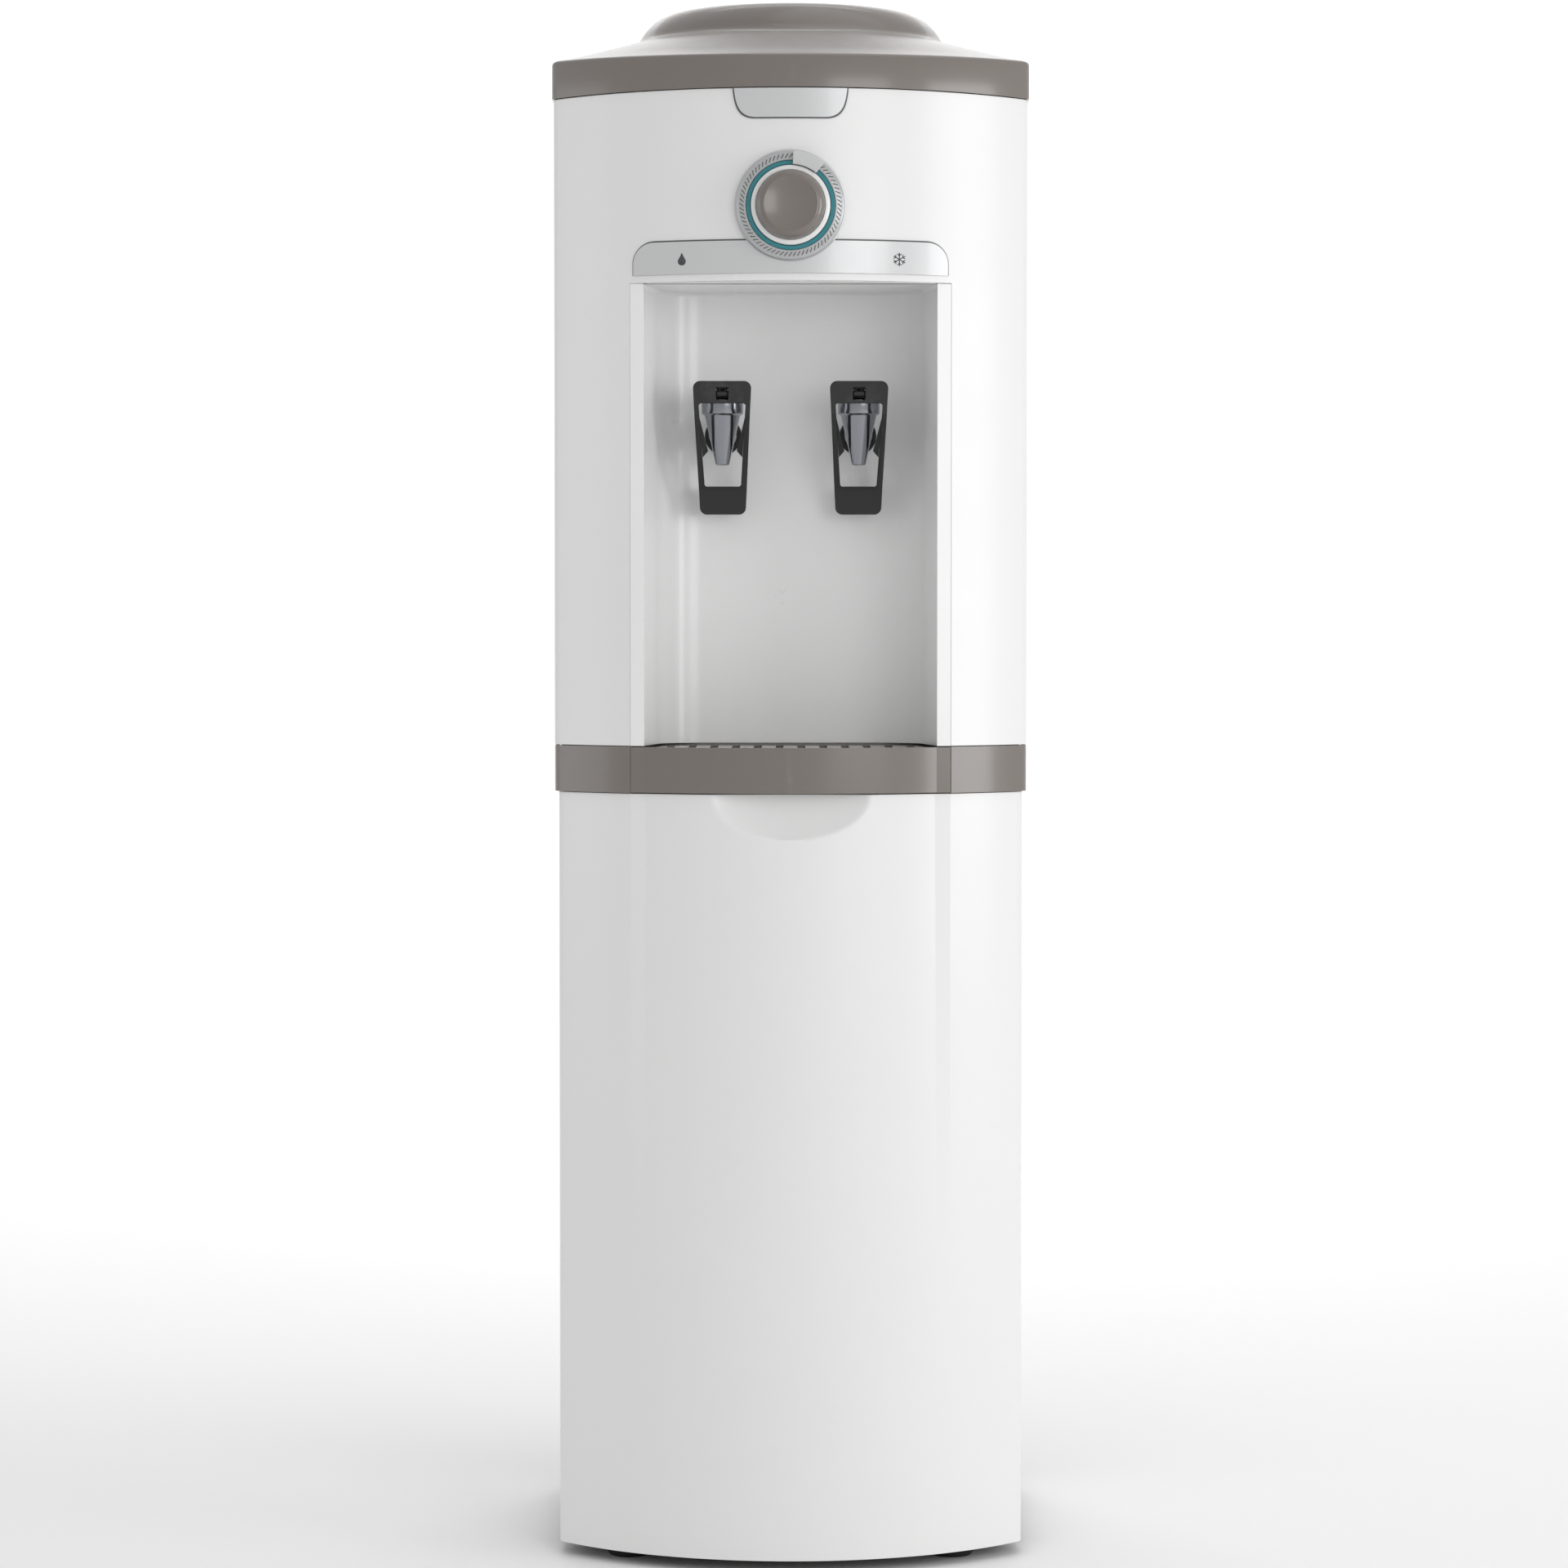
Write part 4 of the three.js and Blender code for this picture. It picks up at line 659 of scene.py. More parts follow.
SHELF_SIDE, SHELF_SET_BACK = 101.4, 18.2
shelf = bmesh.new()
shelf_plan = bow_outline(BELT, SHELF_SET_BACK, limit=SHELF_SIDE - 8, steps=40)
plate(shelf, shelf_plan + [(SHELF_SIDE, NICHE_BACK), (-SHELF_SIDE, NICHE_BACK)], BELT["low"] + 0.4,
      BELT["low"] + 3)
for side in (-1, 1):
    inner, outer = sorted((side * SHELF_SIDE, side * (SHELF_SIDE + 2.4)))
    slab(shelf, (inner, -118, BELT["low"] + 0.4), (outer, NICHE_BACK + 2, BELT["high"]))
slab(shelf, (-SHELF_SIDE, NICHE_BACK - 0.4, BELT["low"] + 0.4), (SHELF_SIDE, NICHE_BACK + 2, BELT["high"]))
set_piece("tray_shelf", shelf, warm_grey, "cabinet", edge=0.3)

# %% [markdown]
# The tray is a basin with a separate face in front of it. The face has flat slanted ends, which
# carry on the edges of the field below and the niche above. Extra points beside each fold keep it sharp.

# %% Model the drip tray
TRAY_FLOOR, TRAY_RIM, TRAY_ROOM = 497.8, 520, 2.5


def tray_plan(inset):
    """Closed plan that follows the niche walls and the bowed front."""
    rear = both_sides([p for p in niche_plan(TRAY_ROOM + inset) if p[1] > -121])
    half = FIELD_FLAT - TRAY_ROOM - inset
    return rear + bow_outline(BELT, RELIEF + 2.4 + inset, limit=half, steps=40)


tray = bmesh.new()
bottom = tray.faces.new([tray.verts.new((x, y, TRAY_FLOOR)) for x, y in tray_plan(0)])
tray_sides = bmesh.ops.extrude_edge_only(tray, edges=list(bottom.edges))["geom"]
bmesh.ops.translate(tray, verts=[g for g in tray_sides if isinstance(g, bmesh.types.BMVert)],
                    vec=(0, 0, TRAY_RIM - TRAY_FLOOR))
face_line = bow_outline(BELT, RELIEF, marks=(FIELD_FLAT - 0.6,), limit=FIELD_FLAT, steps=60)
rim_y, fold_y = bow_y(BELT["front"], FIELD_HALF), face_line[0][1]
facet = [(FIELD_HALF + (FIELD_FLAT - FIELD_HALF) * t, rim_y + (fold_y - rim_y) * t) for t in (0, 0.07, 0.93)]
slanted_left = [(-x, y) for x, y in facet]
raise_outline(tray, slanted_left + face_line + facet[::-1], [BELT["low"] + 0.3, BELT["high"] - 0.3])
set_piece("tray", tray, warm_grey, "tray", ["drip_tray"], wall=2.2, edge=0.35, crease=11)

# %% [markdown]
# The grille takes the tray's plan, a little smaller. Its two outermost slots end sooner, clear of the
# niche's round corners.

# %% Model the grille
GRILLE = {"low": 520.3, "high": 523, "slots": 12, "slot": 5, "pitch": 14, "front": -118, "back": -53}
SHORT_BACK, SHORT_FROM = -68, 70  # where a short slot ends, and how far out the short ones are
grille = bmesh.new()
grille.faces.new([grille.verts.new((x, y, GRILLE["high"])) for x, y in tray_plan(0.5)])
slots = [(i - (GRILLE["slots"] - 1) / 2) * GRILLE["pitch"] for i in range(GRILLE["slots"])]
sides = [x + s * GRILLE["slot"] / 2 for x in slots for s in (-1, 1)]
cuts = [((x, 0, 0), (1, 0, 0)) for x in sides] + [((0, GRILLE[k], 0), (0, 1, 0)) for k in ("front", "back")]
cuts.append(((0, SHORT_BACK, 0), (0, 1, 0)))
for place, normal in cuts:
    everything = grille.verts[:] + grille.edges[:] + grille.faces[:]
    bmesh.ops.bisect_plane(grille, geom=everything, plane_co=place, plane_no=normal)
gone = []
for f in grille.faces:
    x, y, _ = f.calc_center_median()
    rear_end = SHORT_BACK if abs(x) > SHORT_FROM else GRILLE["back"]
    if GRILLE["front"] < y < rear_end and any(abs(x - s) < GRILLE["slot"] / 2 for s in slots):
        gone.append(f)
bmesh.ops.delete(grille, geom=gone, context="FACES")
for f in grille.faces:
    if f.normal.z < 0:
        f.normal_flip()
set_piece("grille", grille, warm_grey, "grille", ["drip_grille"],
          wall=GRILLE["high"] - GRILLE["low"], edge=0.6, crease=30)

# %% [markdown]
# ## The lid
# The lid is lofted: the same number of points runs round every ring, from the skirt's lower edge up and
# over a gentle slope to the round collar that centres the bottle. The loops are bridged ring by ring.

# %% Model the lid
def lid_outline():
    """Plan of the lid: bowed front, straight sides, round rear corners."""
    body = {"half": LID["half"], "front": LID["front"]}
    front = bow_outline(body, steps=72, back=-40)
    rear_x, rear_y, radius = LID["half"] - 14, LID["back"] - 14, 14
    side = [(LID["half"], y) for y in range(-28, 140, 12)]
    rear = [(x, LID["back"]) for x in range(132, -1, -12)]
    right = side + arc((rear_x, rear_y), radius, 0, 90, 8) + rear
    return front + right + [(-x, y) for x, y in reversed(right[:-1])]


COLLAR_FOOT, RIM_TOP = 101, LID["high"]
SLOPE_INSET = 4  # how far inside the outline the slope begins
outline = [Vector(p) for p in lid_outline()]
SKIRT_FOOT = 938
skirt_rings = [(0, SKIRT_FOOT), (0, 956.6), (0.5, 958.0), (1.8, 958.9), (3.6, 959.5)]
slope_rings = [(0.9, 961.2), (0.7, 965.4), (0.5, 969.8), (0.3, 974.3), (0.13, 978.2), (0.05, 980.2),
               (0.012, 981.6)]
collar_rings = [(100.3, 982.9), (99.3, 984.6), (97.9, 987), (96, 989.7), (93.7, 992.2), (91, 994.8),
                (88, 996.9), (85, 998.5), (82, 999.6), (79.5, RIM_TOP), (68, RIM_TOP), (66.5, 999.7),
                (66, 999), (66, 992.6), (65.4, 992), (61, 992), (60.5, 991.4), (60.5, 990.4)]
lid = bmesh.new()


def lid_ring(reach, z, lift=0.0):
    """One ring of the lid, as joined vertices. Reach gives its radius, and lift raises its sides."""
    verts = []
    for p in outline:
        x, y = p.normalized() * reach(p.length)
        verts.append(lid.verts.new((x, y, z + lift * (p.x / LID["half"]) ** 2)))
    return [lid.edges.new((a, b)) for a, b in zip(verts, verts[1:] + verts[:1])]


SIDE_LIFT = 3.2
loops = [lid_ring(lambda far, inset=inset: far - inset, z, SIDE_LIFT * (z > SKIRT_FOOT))
         for inset, z in skirt_rings]
loops += [lid_ring(lambda far, s=share: COLLAR_FOOT + (far - SLOPE_INSET - COLLAR_FOOT) * s, z,
                   SIDE_LIFT * share)
          for share, z in slope_rings]
loops += [lid_ring(lambda far, r=radius: r, z) for radius, z in collar_rings]
for first, second in zip(loops, loops[1:]):
    bmesh.ops.bridge_loops(lid, edges=first + second)
set_piece("lid", lid, warm_grey, "cabinet", ["top_cover"], wall=2.2, edge=0.3, crease=50)

# %% [markdown]
# ## Side and rear sheets
# The sides are folded steel sheets with a lip at the rear, the back is a galvanised sheet with louvre
# slots. Screws with crossed recesses hold the back, and they tell a viewer how large the thing is.

# %% Model the sides and the rear screws
SIDE, SHEET, REAR = span("side_panel_right")["half"], 1.2, 152
for side, name in ((-1, "side_left"), (1, "side_right")):
    flank = bmesh.new()
    plan = [(SIDE, -54.5), (SIDE, 149.3), (SIDE - 1.2, 150.5), (SIDE - 15, 150.5)]
    raise_outline(flank, [(side * x, y) for x, y in plan], [18.3, 300, 620, UPPER["high"]])
    solid = "side_panel_left" if side < 0 else "side_panel_right"
    set_piece(name, flank, powder_white, "cabinet", [solid], wall=SHEET, edge=0.25)

screws = bmesh.new()
for x in (-139, 139):
    for z in (250, 420, 590, 760, 920):
        head = lathe(screws, [(0, 0), (3.6, 0), (3.6, 0.6), (2.6, 1.6), (0, 1.9)], steps=24, closed=False)
        cross = slab(screws, (-1.8, -0.3, 1.75), (1.8, 0.3, 1.95))
        cross += slab(screws, (-0.3, -1.8, 1.75), (0.3, 1.8, 1.95))
        turn_to_back(screws, (x, REAR, z), head + cross)
set_piece("rear_screws", screws, zinc_screw, "cabinet", edge=0.15)

# %% [markdown]
# ## Fascia and badge
# Thin metallised plates lie on the bowed panel. Each is a strip of columns: every column has its own low
# and high end, which draws round corners and the arch over the dial, and it then takes on the panel's
# bow. A slightly larger dark plate just below each is painted shade: a thin shadow line around it.

# %% Model the applied plates
def columns(shape, ends):
    """A flat strip from (x, low, high) columns, drawn on the front plane."""
    low_row = [shape.verts.new((x, 0, low)) for x, low, _ in ends]
    high_row = [shape.verts.new((x, 0, high)) for x, _, high in ends]
    for i in range(len(ends) - 1):
        shape.faces.new([low_row[i], low_row[i + 1], high_row[i + 1], high_row[i]])


def lay_on_panel(shape, lift):
    """Bend what was drawn on the front plane over the bowed panel, a little in front of it."""
    for v in shape.verts:
        v.co.y += bow_y(UPPER["front"], v.co.x) - lift


FASCIA = {"half": 99.6, "low": 821.8, "high": 842.2, "corner": 13, "hole": 34.7}


def fascia_columns(grow):
    """Columns of the fascia: round upper corners and a bite for the dial."""
    half, corner = FASCIA["half"] + min(grow, 0.4), FASCIA["corner"] + grow
    high, hole = FASCIA["high"] + grow, FASCIA["hole"] + grow * 0.2
    ends = []
    marks = [half - corner + corner * sin(radians(a)) for a in range(0, 91, 6)]
    marks.append(sqrt(hole**2 - (DIAL.z - high) ** 2))
    for x in sorted({s * m for m in marks for s in (-1, 1)} | {2.0 * i for i in range(-41, 42)}):
        rounding = max(0, abs(x) - (half - corner))
        top = high - corner + sqrt(max(0, corner**2 - rounding**2))
        if abs(x) < hole:
            top = min(top, DIAL.z - sqrt(hole**2 - x * x))
        ends.append((x, FASCIA["low"], top))
    return ends


fascia = bmesh.new()
columns(fascia, fascia_columns(0))
lay_on_panel(fascia, 1.4)
set_piece("fascia", fascia, silver_lacquer, "cabinet", ["fascia_plate"], wall=1.0, edge=0.25)

# Painted shadow line: a dark plate a little larger than the fascia, just behind it.
shadow_line_strip = bmesh.new()
columns(shadow_line_strip, fascia_columns(1.0))
lay_on_panel(shadow_line_strip, 0.55)
set_piece("fascia_shadow_line", shadow_line_strip, painted_shade_grey, "cabinet", wall=0.4, edge=0.1)

dial_outline = bmesh.new()
lathe(dial_outline, [(30, 0), (35.3, 0), (35.3, 0.4), (30, 0.4)], steps=96)
turn_to_front(dial_outline, (0, 0, DIAL.z))
lay_on_panel(dial_outline, 0.15)
set_piece("dial_outline", dial_outline, silver_lacquer, "cabinet", edge=0.1)


BADGE_LOW, BADGE_HIGH = 918.3, 937.4


def badge_columns(grow):
    """Columns of the badge, whose lower corners sweep up to the lid."""
    corner = []
    for i in range(17):
        t = i / 16
        weights = ((1 - t) ** 3, 3 * t * (1 - t) ** 2, 3 * t * t * (1 - t), t**3)
        x = sum(w * c for w, c in zip(weights, (36.4, 35.4, 32, 22)))
        z = sum(w * c for w, c in zip(weights, (BADGE_HIGH, 924.0, BADGE_LOW, BADGE_LOW)))
        corner.append((x + grow * (i < 16), z - grow))
    right = [(x, min(z, BADGE_HIGH), BADGE_HIGH) for x, z in corner]
    middle = [(2.0 * i, BADGE_LOW - grow, BADGE_HIGH) for i in range(-10, 11)]
    return [(-x, low, high) for x, low, high in right] + middle + right[::-1]


# The first plate is a painted shadow line: dark, a little larger than the badge, just behind it.
for name, grow, lift, paint, stands_for in (("badge_shadow_line", 0.0, 0.7, painted_shade_grey, []),
                                            ("badge", -0.8, 1.4, silver_lacquer, ["badge_plate"])):
    badge = bmesh.new()
    columns(badge, badge_columns(grow))
    lay_on_panel(badge, lift)
    set_piece(name, badge, paint, "cabinet", stands_for, wall=0.5, edge=0.15)

# %% [markdown]
# Two printed signs tell the taps apart: a drop for water at room temperature, a snow crystal for cold.

# %% Print the two signs
signs = bmesh.new()
SIGN_Z, SIGN_X = 831, 68.5
drop = arc((0, -1.2), 2.5, -205, 25, 20) + [(1.2, 1.6), (0, 4.2), (-1.2, 1.6)]
drop_verts = plate(signs, drop, 0, 0.12)
turn_to_front(signs, (-SIGN_X, 0, SIGN_Z), drop_verts)
for turn in (0, 60, 120):
    arm = plate(signs, [(-0.28, -4.2), (0.28, -4.2), (0.28, 4.2), (-0.28, 4.2)], 0, 0.12)
    for tip in (-1, 1):
        for lean in (-1, 1):
            barb = [(0, 2.1), (lean * 1.5, 3.3), (lean * 1.2, 3.7), (0, 2.8)]
            arm += plate(signs, [(x, tip * y) for x, y in barb], 0, 0.12)
    bmesh.ops.rotate(signs, cent=(0, 0, 0), matrix=Matrix.Rotation(radians(turn), 3, "Z"), verts=arm)
    turn_to_front(signs, (SIGN_X, 0, SIGN_Z), arm)
lay_on_panel(signs, 1.41)
set_piece("tap_signs", signs, icon_ink, "cabinet", edge=0)

# %% [markdown]
# ## The dial
# All its rings are turned about one axis. A silver bezel with fine slanting dark marks, painted shade,
# surrounds a teal ring, a white skirt and a warm grey cap. A wedge on the skirt is the pointer, and it turns
# with the cap.

# %% Turn the dial
KNOB_FACE = 18.0
dial_profiles = [
    ("bezel", bezel_silver, "cabinet", "silver_trim", ["dial_bezel"],
     [(4, -2.6), (34, -2.6), (34, 3.2), (33.5, 4.2), (32.6, 4.8), (28.6, 5.2), (28.1, 4.9), (27.8, 3.4),
      (25.4, 3.4), (25.4, 0.6), (4, 0.6)]),
    ("teal_ring", teal_gloss, "cabinet", "teal_print", [],
     [(25.3, 3.3), (27.9, 3.3), (27.9, 4.6), (27.5, 5.0), (25.7, 5.0), (25.3, 4.6)]),
    ("skirt", knob_white, "knob", "white_panel", ["knob_skirt"],
     [(3.4, 1), (24.9, 1), (24.9, 6.3), (24.6, 7), (23.9, 7.4), (22.4, 8.3), (22, 8.3), (22, 6.8),
      (3.4, 6.8)]),
    ("cap", warm_grey, "knob", "taupe", ["knob_cap"],
     [(0, 7.1), (21.6, 7.1), (21.6, 12.6), (21.1, 14.4), (19.9, 16.4), (18.4, 17.6), (16.8, KNOB_FACE),
      (16.2, 17.7), (0, 17.6)]),
]
for name, paint, body, slot_name, stands_for, profile in dial_profiles:
    ring = bmesh.new()
    lathe(ring, profile, steps=120)
    turn_to_front(ring, DIAL)
    set_piece(name, ring, paint, body, stands_for, edge=0.12, crease=35)

pointer = bmesh.new()
wedge = arc((0, 0), 33.7, 51, 87, 16) + arc((0, 0), 25.2, 87, 51, 16)
plate(pointer, wedge, 5.6, 8.6)
turn_to_front(pointer, DIAL)
set_piece("pointer", pointer, silver_lacquer, "knob", ["knob_pointer"], edge=0.5)

# Painted shade: 72 thin dark slanting marks laid on the bezel.
marks = bmesh.new()
for i in range(72):
    mark = slab(marks, (-0.24, 29.2, 5.0), (0.24, 32.4, 5.24))
    bmesh.ops.rotate(marks, cent=(0, 30.6, 0), matrix=Matrix.Rotation(radians(-38), 3, "Z"), verts=mark)
    bmesh.ops.rotate(marks, cent=(0, 0, 0), matrix=Matrix.Rotation(radians(5 * i), 3, "Z"), verts=mark)
turn_to_front(marks, DIAL)
set_piece("bezel_shade_marks", marks, painted_shade_grey, "cabinet", edge=0)

# %% [markdown]
# ## The taps
# A chromed body hangs under a black cap. The lever is a flat ring with straight sides, drawn from the
# front and then leant back: its points take their depth from a side profile, so head, arms and paddle
# follow one line. Pushing the paddle back tips it on its pin, and a tongue lifts the valve stem.

# %% Model one tap
TAP_X, TAP_Z, SPOUT_Y = 43.8, 724, -36
LEVER = {"top": 33, "low": -51.4}
LEVER_WINDOW = {"top": 18.8, "low": -33.4}
PIN_SLOT = {"half": 4, "low": 20.8, "high": 29}
LEVER_FRONT = [(33, -55.5), (12, -55.5), (-36, -22.5), (-54, -20.5)]
LEVER_BACK = [(33, -51), (14, -51), (-36, -18), (-54, -17)]


def along(profile, z):
    """Depth of a side profile at a height."""
    for (z0, y0), (z1, y1) in zip(profile, profile[1:]):
        if z >= z1:
            return y0 + (y1 - y0) * (z0 - z) / (z0 - z1)
    return profile[-1][1]


def lever_loop(top, low, top_half, low_half, radius):
    """A rounded trapezoid seen from the front, with the same number of points whatever its size."""
    right = arc((low_half - radius, low + radius), radius, -90, 0, 6)
    right += arc((top_half - radius, top - radius), radius, 0, 90, 6)
    right += [(PIN_SLOT["half"], top)]
    return right + [(-x, z) for x, z in reversed(right)]


def lean_back(shape, flat):
    """Give a flat front view its depth: a copy of every face at the back, and walls between."""
    grown = bmesh.ops.extrude_face_region(shape, geom=flat)["geom"]
    back = {g for g in grown if isinstance(g, bmesh.types.BMVert)}
    for v in shape.verts:
        v.co.y = along(LEVER_BACK if v in back else LEVER_FRONT, v.co.z)


def model_lever():
    """The lever in the tap's own frame."""
    shape = bmesh.new()
    outer = [shape.verts.new((x, 0, z)) for x, z in lever_loop(LEVER["top"], LEVER["low"], 18.6, 14.9, 4.5)]
    inner = [shape.verts.new((x, 0, z)) for x, z in
             lever_loop(LEVER_WINDOW["top"], LEVER_WINDOW["low"], 15.0, 11.8, 1.6)]
    for i in range(len(outer)):
        if (outer[i].co - outer[i - 1].co).length + (inner[i].co - inner[i - 1].co).length > 0.01:
            shape.faces.new([outer[i - 1], outer[i], inner[i], inner[i - 1]])
    for side in (-1, 1):
        shape.faces.new([shape.verts.new((side * x, 0, z))
                         for x, z in ((14.6, 10), (12.7, -15), (9.2, -11))])
    for z in (PIN_SLOT["high"], PIN_SLOT["low"], 14, 12, -36):
        everything = shape.verts[:] + shape.edges[:] + shape.faces[:]
        bmesh.ops.bisect_plane(shape, geom=everything, plane_co=(0, 0, z), plane_no=(0, 0, 1))
    middles = [(f, f.calc_center_median()) for f in shape.faces]
    slot = [f for f, at in middles if abs(at.x) < 1 and PIN_SLOT["low"] < at.z < PIN_SLOT["high"]]
    bmesh.ops.delete(shape, geom=slot, context="FACES")
    lean_back(shape, shape.faces[:])
    slab(shape, (-5.5, -52, 28.3), (-2.2, -35, 30.3))
    slab(shape, (2.2, -52, 28.3), (5.5, -35, 30.3))
    slab(shape, (-3, -52, 28.3), (3, -38.6, 30.3))
    pin = lathe(shape, [(0, -5), (1.2, -5), (1.2, -1.6), (0, -1.6)], steps=20, closed=False)
    pin += lathe(shape, [(0, 1.6), (1.2, 1.6), (1.2, 5), (0, 5)], steps=20, closed=False)
    across = Matrix.Translation((0, -51.5, 25)) @ Matrix.Rotation(pi / 2, 4, "Y")
    bmesh.ops.transform(shape, matrix=across, verts=pin)
    return shape


def model_tap_body():
    """Spout, collar and threaded tail."""
    shape = bmesh.new()
    spout = [(2.9, -20), (3.9, -20), (4.4, -19.4), (11.3, 11.2), (11.9, 11.9), (13.1, 12.6), (13.4, 13.2),
             (13.4, 21.4), (12.8, 22), (6, 22), (6, -4.5), (2.9, -4.5)]
    verts = lathe(shape, spout, steps=72)
    bmesh.ops.translate(shape, verts=verts, vec=(0, SPOUT_Y, 0))
    tail = [(4.2, 9), (8.4, 9), (9, 9.8), (9, 34.6), (12.2, 34.9), (12.2, 35.9), (9, 35.9), (9, 52),
            (4.2, 52)]
    verts = lathe(shape, tail, steps=48)
    turn_to_back(shape, (0, SPOUT_Y, 0), verts)
    return shape


def model_bonnet():
    """The black cap over the valve, with the lug that carries the lever's pin."""
    shape = bmesh.new()
    cap = [(1.9, 15), (5.6, 15), (5.6, 22.3), (12.4, 22.3), (12.6, 22.8), (12.6, 26), (11.2, 27.5),
           (1.9, 27.5)]
    bmesh.ops.translate(shape, verts=lathe(shape, cap, steps=64), vec=(0, SPOUT_Y, 0))
    lug = plate(shape, arc((-51.5, 25), 2.55, 90, 270, 14) + [(-45, 22.4), (-45, 27.5)], -3.4, 3.4)
    on_its_side = Matrix(((0, 0, 1, 0), (1, 0, 0, 0), (0, 1, 0, 0), (0, 0, 0, 1)))
    bmesh.ops.transform(shape, matrix=on_its_side, verts=lug)
    return shape


def model_stem():
    """The valve stem: sealing plug, rod and head."""
    shape = bmesh.new()
    profile = [(0, -4.2), (4.6, -4.2), (5.2, 0), (5.2, 0.8), (1.5, 0.8), (1.5, 30.7), (3.8, 30.7), (4, 31),
               (4, 32.2), (3.4, 32.6), (0, 32.6)]
    bmesh.ops.translate(shape, verts=lathe(shape, profile, steps=32, closed=False), vec=(0, SPOUT_Y, 0))
    return shape


for side, way in (("left", -1), ("right", 1)):
    parts = [("tap_body", model_tap_body(), chrome, "cabinet", "chrome", 0.25),
             ("tap_bonnet", model_bonnet(), black_grain, "cabinet", "black_plastic", 0.3),
             ("tap_stem", model_stem(), black_grain, f"stem_{side}", "black_plastic", 0.15),
             ("tap_lever", model_lever(), black_grain, f"lever_{side}", "black_plastic", 0.8)]
    for solid, shape, paint, body, slot_name, edge in parts:
        bmesh.ops.translate(shape, verts=shape.verts, vec=(way * TAP_X, NICHE_BACK, TAP_Z))
        short = solid.replace("tap_", "")
        set_piece(f"{short}_{side}", shape, paint, body, [f"{solid}_{side}"], edge=edge)

# %% [markdown]
# Inside each spout a coil spring presses the valve shut. It shortens as the stem rises.

# %% Wind the return springs
SPRING_TURNS, KNOTS_A_TURN, SPRING_WIRE = 6, 8, 0.4
for side in ("left", "right"):
    low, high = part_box(f"tap_spring_{side}")
    centre, reach = (low + high) / 2 / MM, (high.x - low.x) / 2 / MM - SPRING_WIRE
    start, rise = low.z / MM + SPRING_WIRE, (high.z - low.z) / MM - 2 * SPRING_WIRE
    knots = SPRING_TURNS * KNOTS_A_TURN
    helix = []
    for i in range(knots + 1):
        angle = 2 * pi * i / KNOTS_A_TURN
        helix.append((centre.x + reach * cos(angle), centre.y + reach * sin(angle),
                      start + rise * i / knots))
    coil = bent_tube(f"return_spring_{side}", helix, SPRING_WIRE, spring_wire, "cabinet",
                     [f"tap_spring_{side}"], sides=2)
    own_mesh(coil)

# %% [markdown]
# ## The bottle's seat
# A milky bowl hangs in the collar. Its hollow spike opens the bottle's cap and lets water down and air up.

# %% Turn the bowl and its spike
seat = bmesh.new()
lathe(seat, [(7, 936), (40, 936), (44.5, 937.2), (48, 942), (58.6, 987.4), (59, 992.3), (65, 992.3),
             (65, 994.7), (57.6, 994.7), (57, 994.2), (57, 988.3), (45.4, 944.4), (43.4, 940.6), (39, 938),
             (7, 938)], steps=96)
lathe(seat, [(6.6, 886), (9, 886), (9, 968), (8.2, 974), (5, 984), (2.6, 984), (5.6, 972), (6.6, 967)],
      steps=48)
for angle in range(0, 360, 45):
    rib = slab(seat, (38.5, -0.7, 938), (46, 0.7, 943))
    bmesh.ops.rotate(seat, cent=(0, 0, 0), matrix=Matrix.Rotation(radians(angle), 3, "Z"), verts=rib)
set_piece("bottle_bowl", seat, milky_plastic, "separator", ["bottle_separator"], edge=0.3)

# %% [markdown]
# ## The cooling unit at the back
# Refrigerant goes round from the compressor through the wire condenser, a drier and the tank's coil. The
# condenser is one tube bent to and fro with wires welded across it in two layers.

# %% Bend the condenser
CONDENSER_Y, TUBE_R, WIRE_R = 164.5, 2.4, 0.8
ROWS, PITCH, ROW_LOW, HALF = 11, 44, 270, 118
BEND = PITCH // 2
path = []
for row in range(ROWS):
    way = -1 if row % 2 else 1
    z = ROW_LOW + row * PITCH
    path += [(way * share * (HALF - BEND), z) for share in (-1, -0.9, 0, 0.9, 1)]
    if row < ROWS - 1:
        turn = [radians(a) for a in (30, 60, 90, 120, 150)]
        path += [(way * (HALF - BEND + BEND * sin(a)), z + BEND - BEND * cos(a)) for a in turn]
bent_tube("condenser_tube", [(x, CONDENSER_Y, z) for x, z in path], TUBE_R, black_enamel, "cabinet",
          ["condenser"])
WIRES, WIRE_LOW, WIRE_HIGH, WIRE_REACH = 31, 258, 722, HALF - 24
wires = bmesh.new()
LAYER = TUBE_R + WIRE_R * 0.35
for i in range(WIRES):
    x = (i / (WIRES - 1) - 0.5) * 2 * WIRE_REACH
    y = CONDENSER_Y + (LAYER if i % 2 else -LAYER)
    bar = [(0, WIRE_LOW), (WIRE_R, WIRE_LOW), (WIRE_R, WIRE_HIGH), (0, WIRE_HIGH)]
    wire = lathe(wires, bar, steps=8, closed=False)
    bmesh.ops.translate(wires, verts=wire, vec=(x, y, 0))
set_piece("condenser_wires", wires, black_enamel, "cabinet", edge=0)

# %% [markdown]
# The compressor is a spun pot, stretched sideways, with a weld seam round its middle and three stubs
# for its lines. Rubber mounts hold its plate. The feet are plain rubber pads.

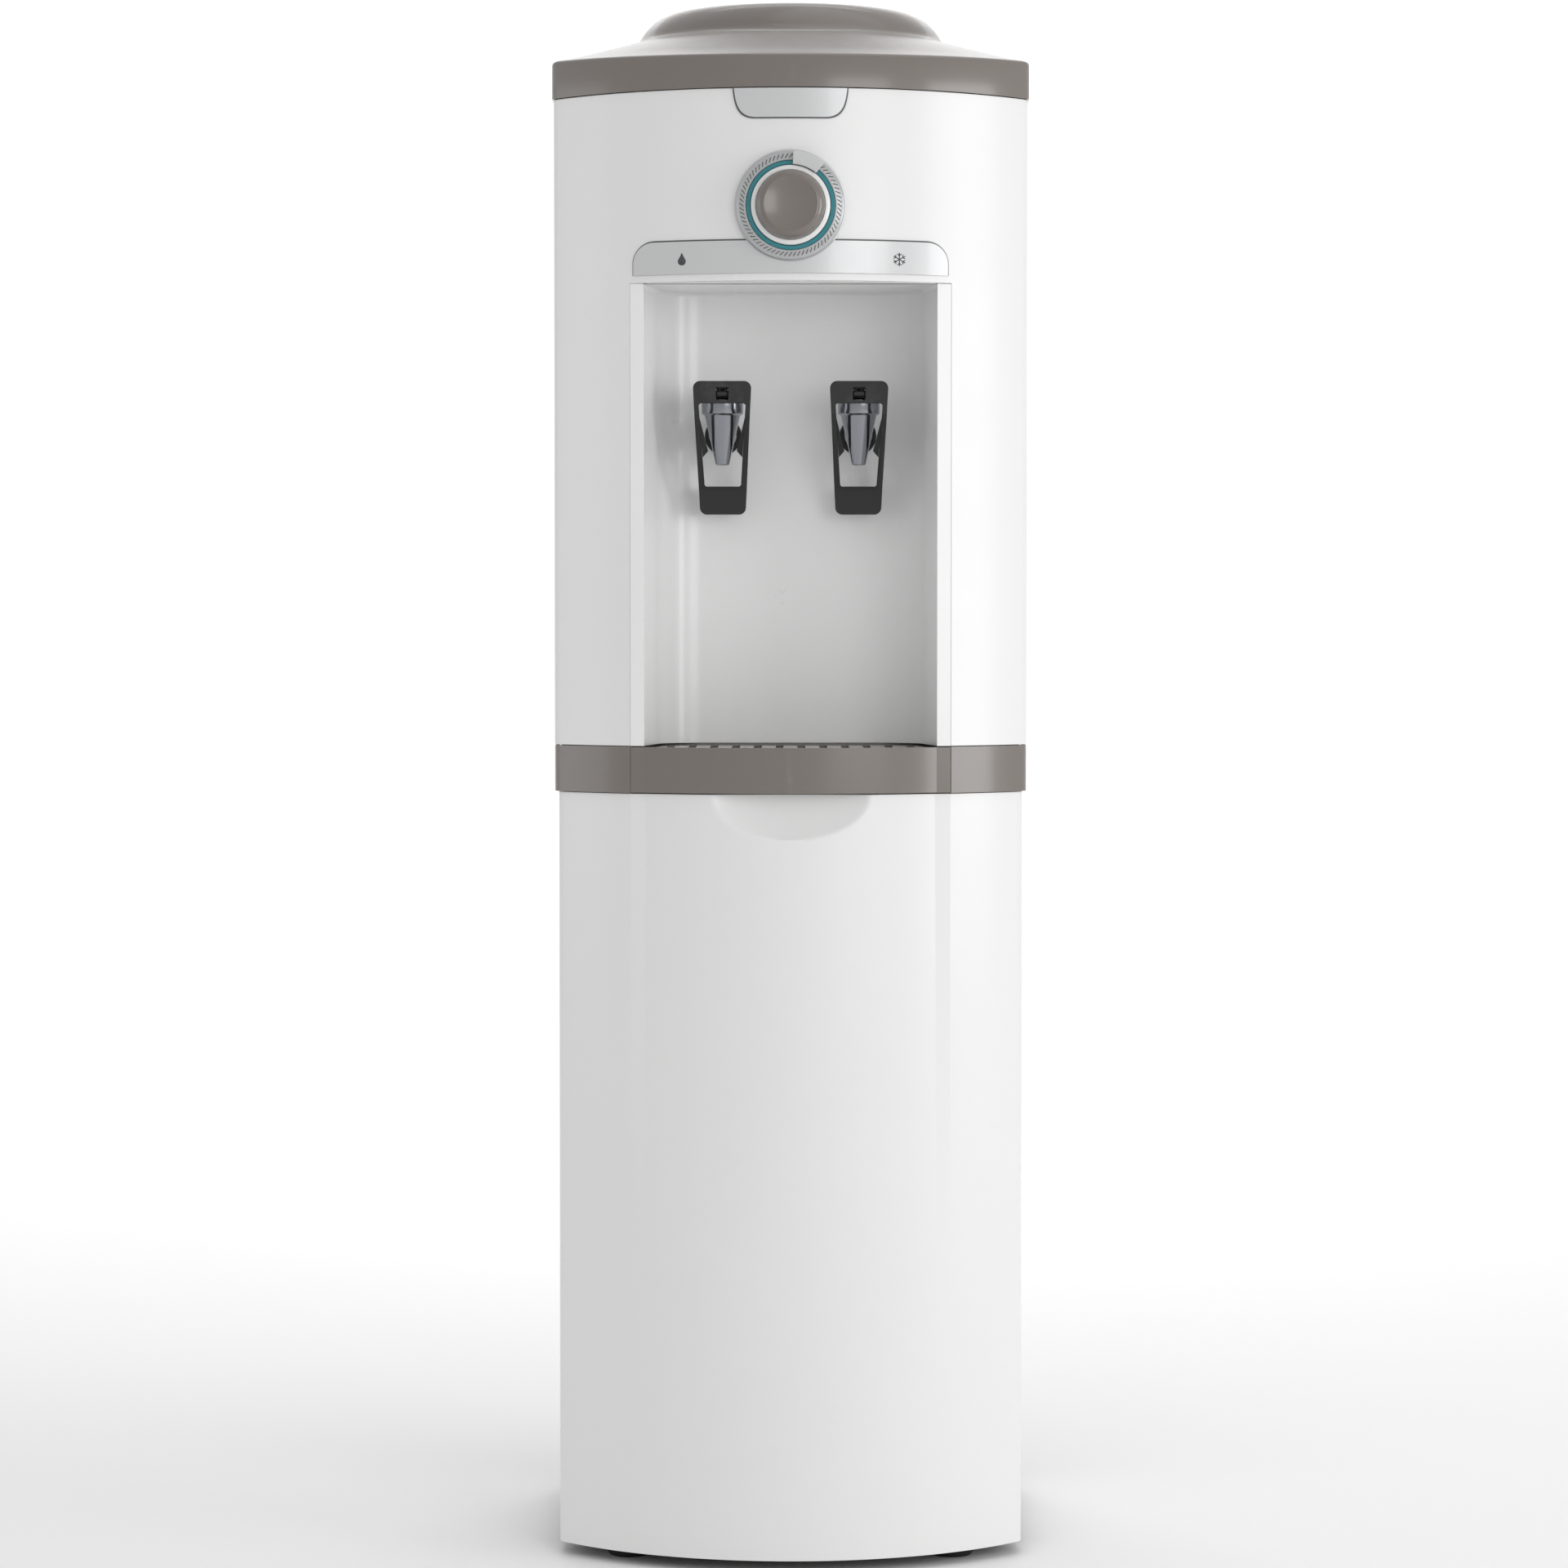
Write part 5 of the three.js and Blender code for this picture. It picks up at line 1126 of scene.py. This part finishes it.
# %% Turn the compressor, its relay box and the feet
COMPRESSOR = {"x": -20, "y": 78, "low": 36, "high": 158, "r": 52, "stretch": 1.3}
mid, r, high = 97, COMPRESSOR["r"], COMPRESSOR["high"]
pot = bmesh.new()
shell = [(0, 36), (r * 0.5, 37.4), (r * 0.72, 41), (r * 0.9, 49), (r * 0.98, 58), (r, 68), (r, mid),
         (r + 2.4, mid), (r + 2.4, mid + 4), (r, mid + 4), (r * 0.985, high - 36), (r * 0.94, high - 22),
         (r * 0.82, high - 10.5), (r * 0.6, high - 4), (r * 0.3, high - 0.8), (0, high)]
body_verts = lathe(pot, shell, steps=96, closed=False)
bmesh.ops.scale(pot, vec=(COMPRESSOR["stretch"], 1, 1), verts=body_verts)
for dx, dy in ((38, 26), (30, -28), (-6, 40)):
    stub = lathe(pot, [(0, 118), (3.6, 118), (3.6, 163), (3, 164), (0, 164)], steps=24, closed=False)
    bmesh.ops.translate(pot, verts=stub, vec=(dx, dy, 0))
slab(pot, (-92, -52, 33.6), (-64, 52, 36.6))
slab(pot, (64, -52, 33.6), (92, 52, 36.6))
slab(pot, (-70, -40, 33.6), (70, 52, 36.6))
bmesh.ops.translate(pot, verts=pot.verts, vec=(COMPRESSOR["x"], COMPRESSOR["y"], 0))
set_piece("compressor_pot", pot, black_enamel, "cabinet", ["compressor"], edge=0.5)

relay = bmesh.new()
slab(relay, (51.8, 56.2, 66.2), (77.6, 101.8, 122))
slab(relay, (77.4, 62, 72), (77.8, 96, 116))
set_piece("relay_box", relay, black_grain, "cabinet", ["relay_cover"], edge=1.6)

for name, x, y in (("front_left", -104, -84), ("front_right", 104, -84), ("rear_left", -126, 124),
                   ("rear_right", 126, 124)):
    pad = bmesh.new()
    lathe(pad, [(0, 0), (12.4, 0), (13.4, 0.8), (15, 3), (16, 13.7), (0, 13.7)], steps=64, closed=False)
    bmesh.ops.translate(pad, verts=pad.verts, vec=(x, y, 0))
    set_piece(f"pad_{name}", pad, black_rubber, "cabinet", [f"foot_{name}"], edge=0.4)

# %% [markdown]
# Two lines meet the pot's stubs, and a thin one leaves the drier. Each is a smooth curve through a few
# points, with a round section.

# %% Bend the refrigerant lines
bent_tube("hot_gas_line", [(18, 104, 164.3), (18, 104, 176), (0, 118, 204), (-50, 138, 232),
          (-114, 150, 227), (-126, 164.5, 246), (-118, 164.5, 268), (-98.6, 164.5, 270)], 2.4, copper_tube,
          "cabinet", ["discharge_line"])
bent_tube("return_line", [(14, 123, 848), (14, 132, 848), (15, 141, 840), (22, 144, 780), (30, 143, 600),
          (36, 142, 320), (30, 112, 222), (10, 54, 186), (10, 50, 164.3)], 3, copper_tube, "cabinet",
          ["suction_line"])
bent_tube("capillary", [(96, 134, 196), (96, 134, 212), (72, 138, 240), (62, 144, 400), (56, 145, 620),
          (46, 142, 740), (40, 138, 780), (40, 128, 784), (40, 115.5, 784)], 1.1, copper_tube, "cabinet")
drier = bmesh.new()
drier_profile = [(0, 0), (2, 0), (2, 6), (4, 9), (7.4, 12), (8, 14.5), (8, 61.5), (7.2, 64), (4, 68),
                 (2, 72), (2, 80), (0, 80)]
lathe(drier, drier_profile, steps=40, closed=False)
bmesh.ops.translate(drier, verts=drier.verts, vec=(96, 134, 120))
set_piece("drier", drier, copper_tube, "cabinet", ["filter_drier"], edge=0.3)

# %% [markdown]
# ## The solids that stay
# What lies inside, or is a plain sheet, is shown by its own solid and only gets a finish. The record's
# material slot of each solid says which.

# %% Finish the solids that stay
SLOT_FINISH = {
    "white_panel": gloss_white, "niche_white": niche_white, "white_sheet": powder_white,
    "taupe": warm_grey, "silver_trim": silver_lacquer, "chrome": chrome, "black_plastic": black_grain,
    "black_rubber": black_rubber, "galvanised": zinc_sheet, "black_steel": black_enamel,
    "copper": copper_tube, "stainless": stainless, "foam": bead_foam, "natural_plastic": milky_plastic,
    "spring_steel": spring_wire, "teal_print": teal_gloss,
}
for row in frame["record"]["subparts"]:
    solid = frame["nodes"][row["node"]]
    solid.data.materials.clear()
    solid.data.materials.append(SLOT_FINISH[row["material_slot"]])
print("finished", len(frame["nodes"]), "solids")
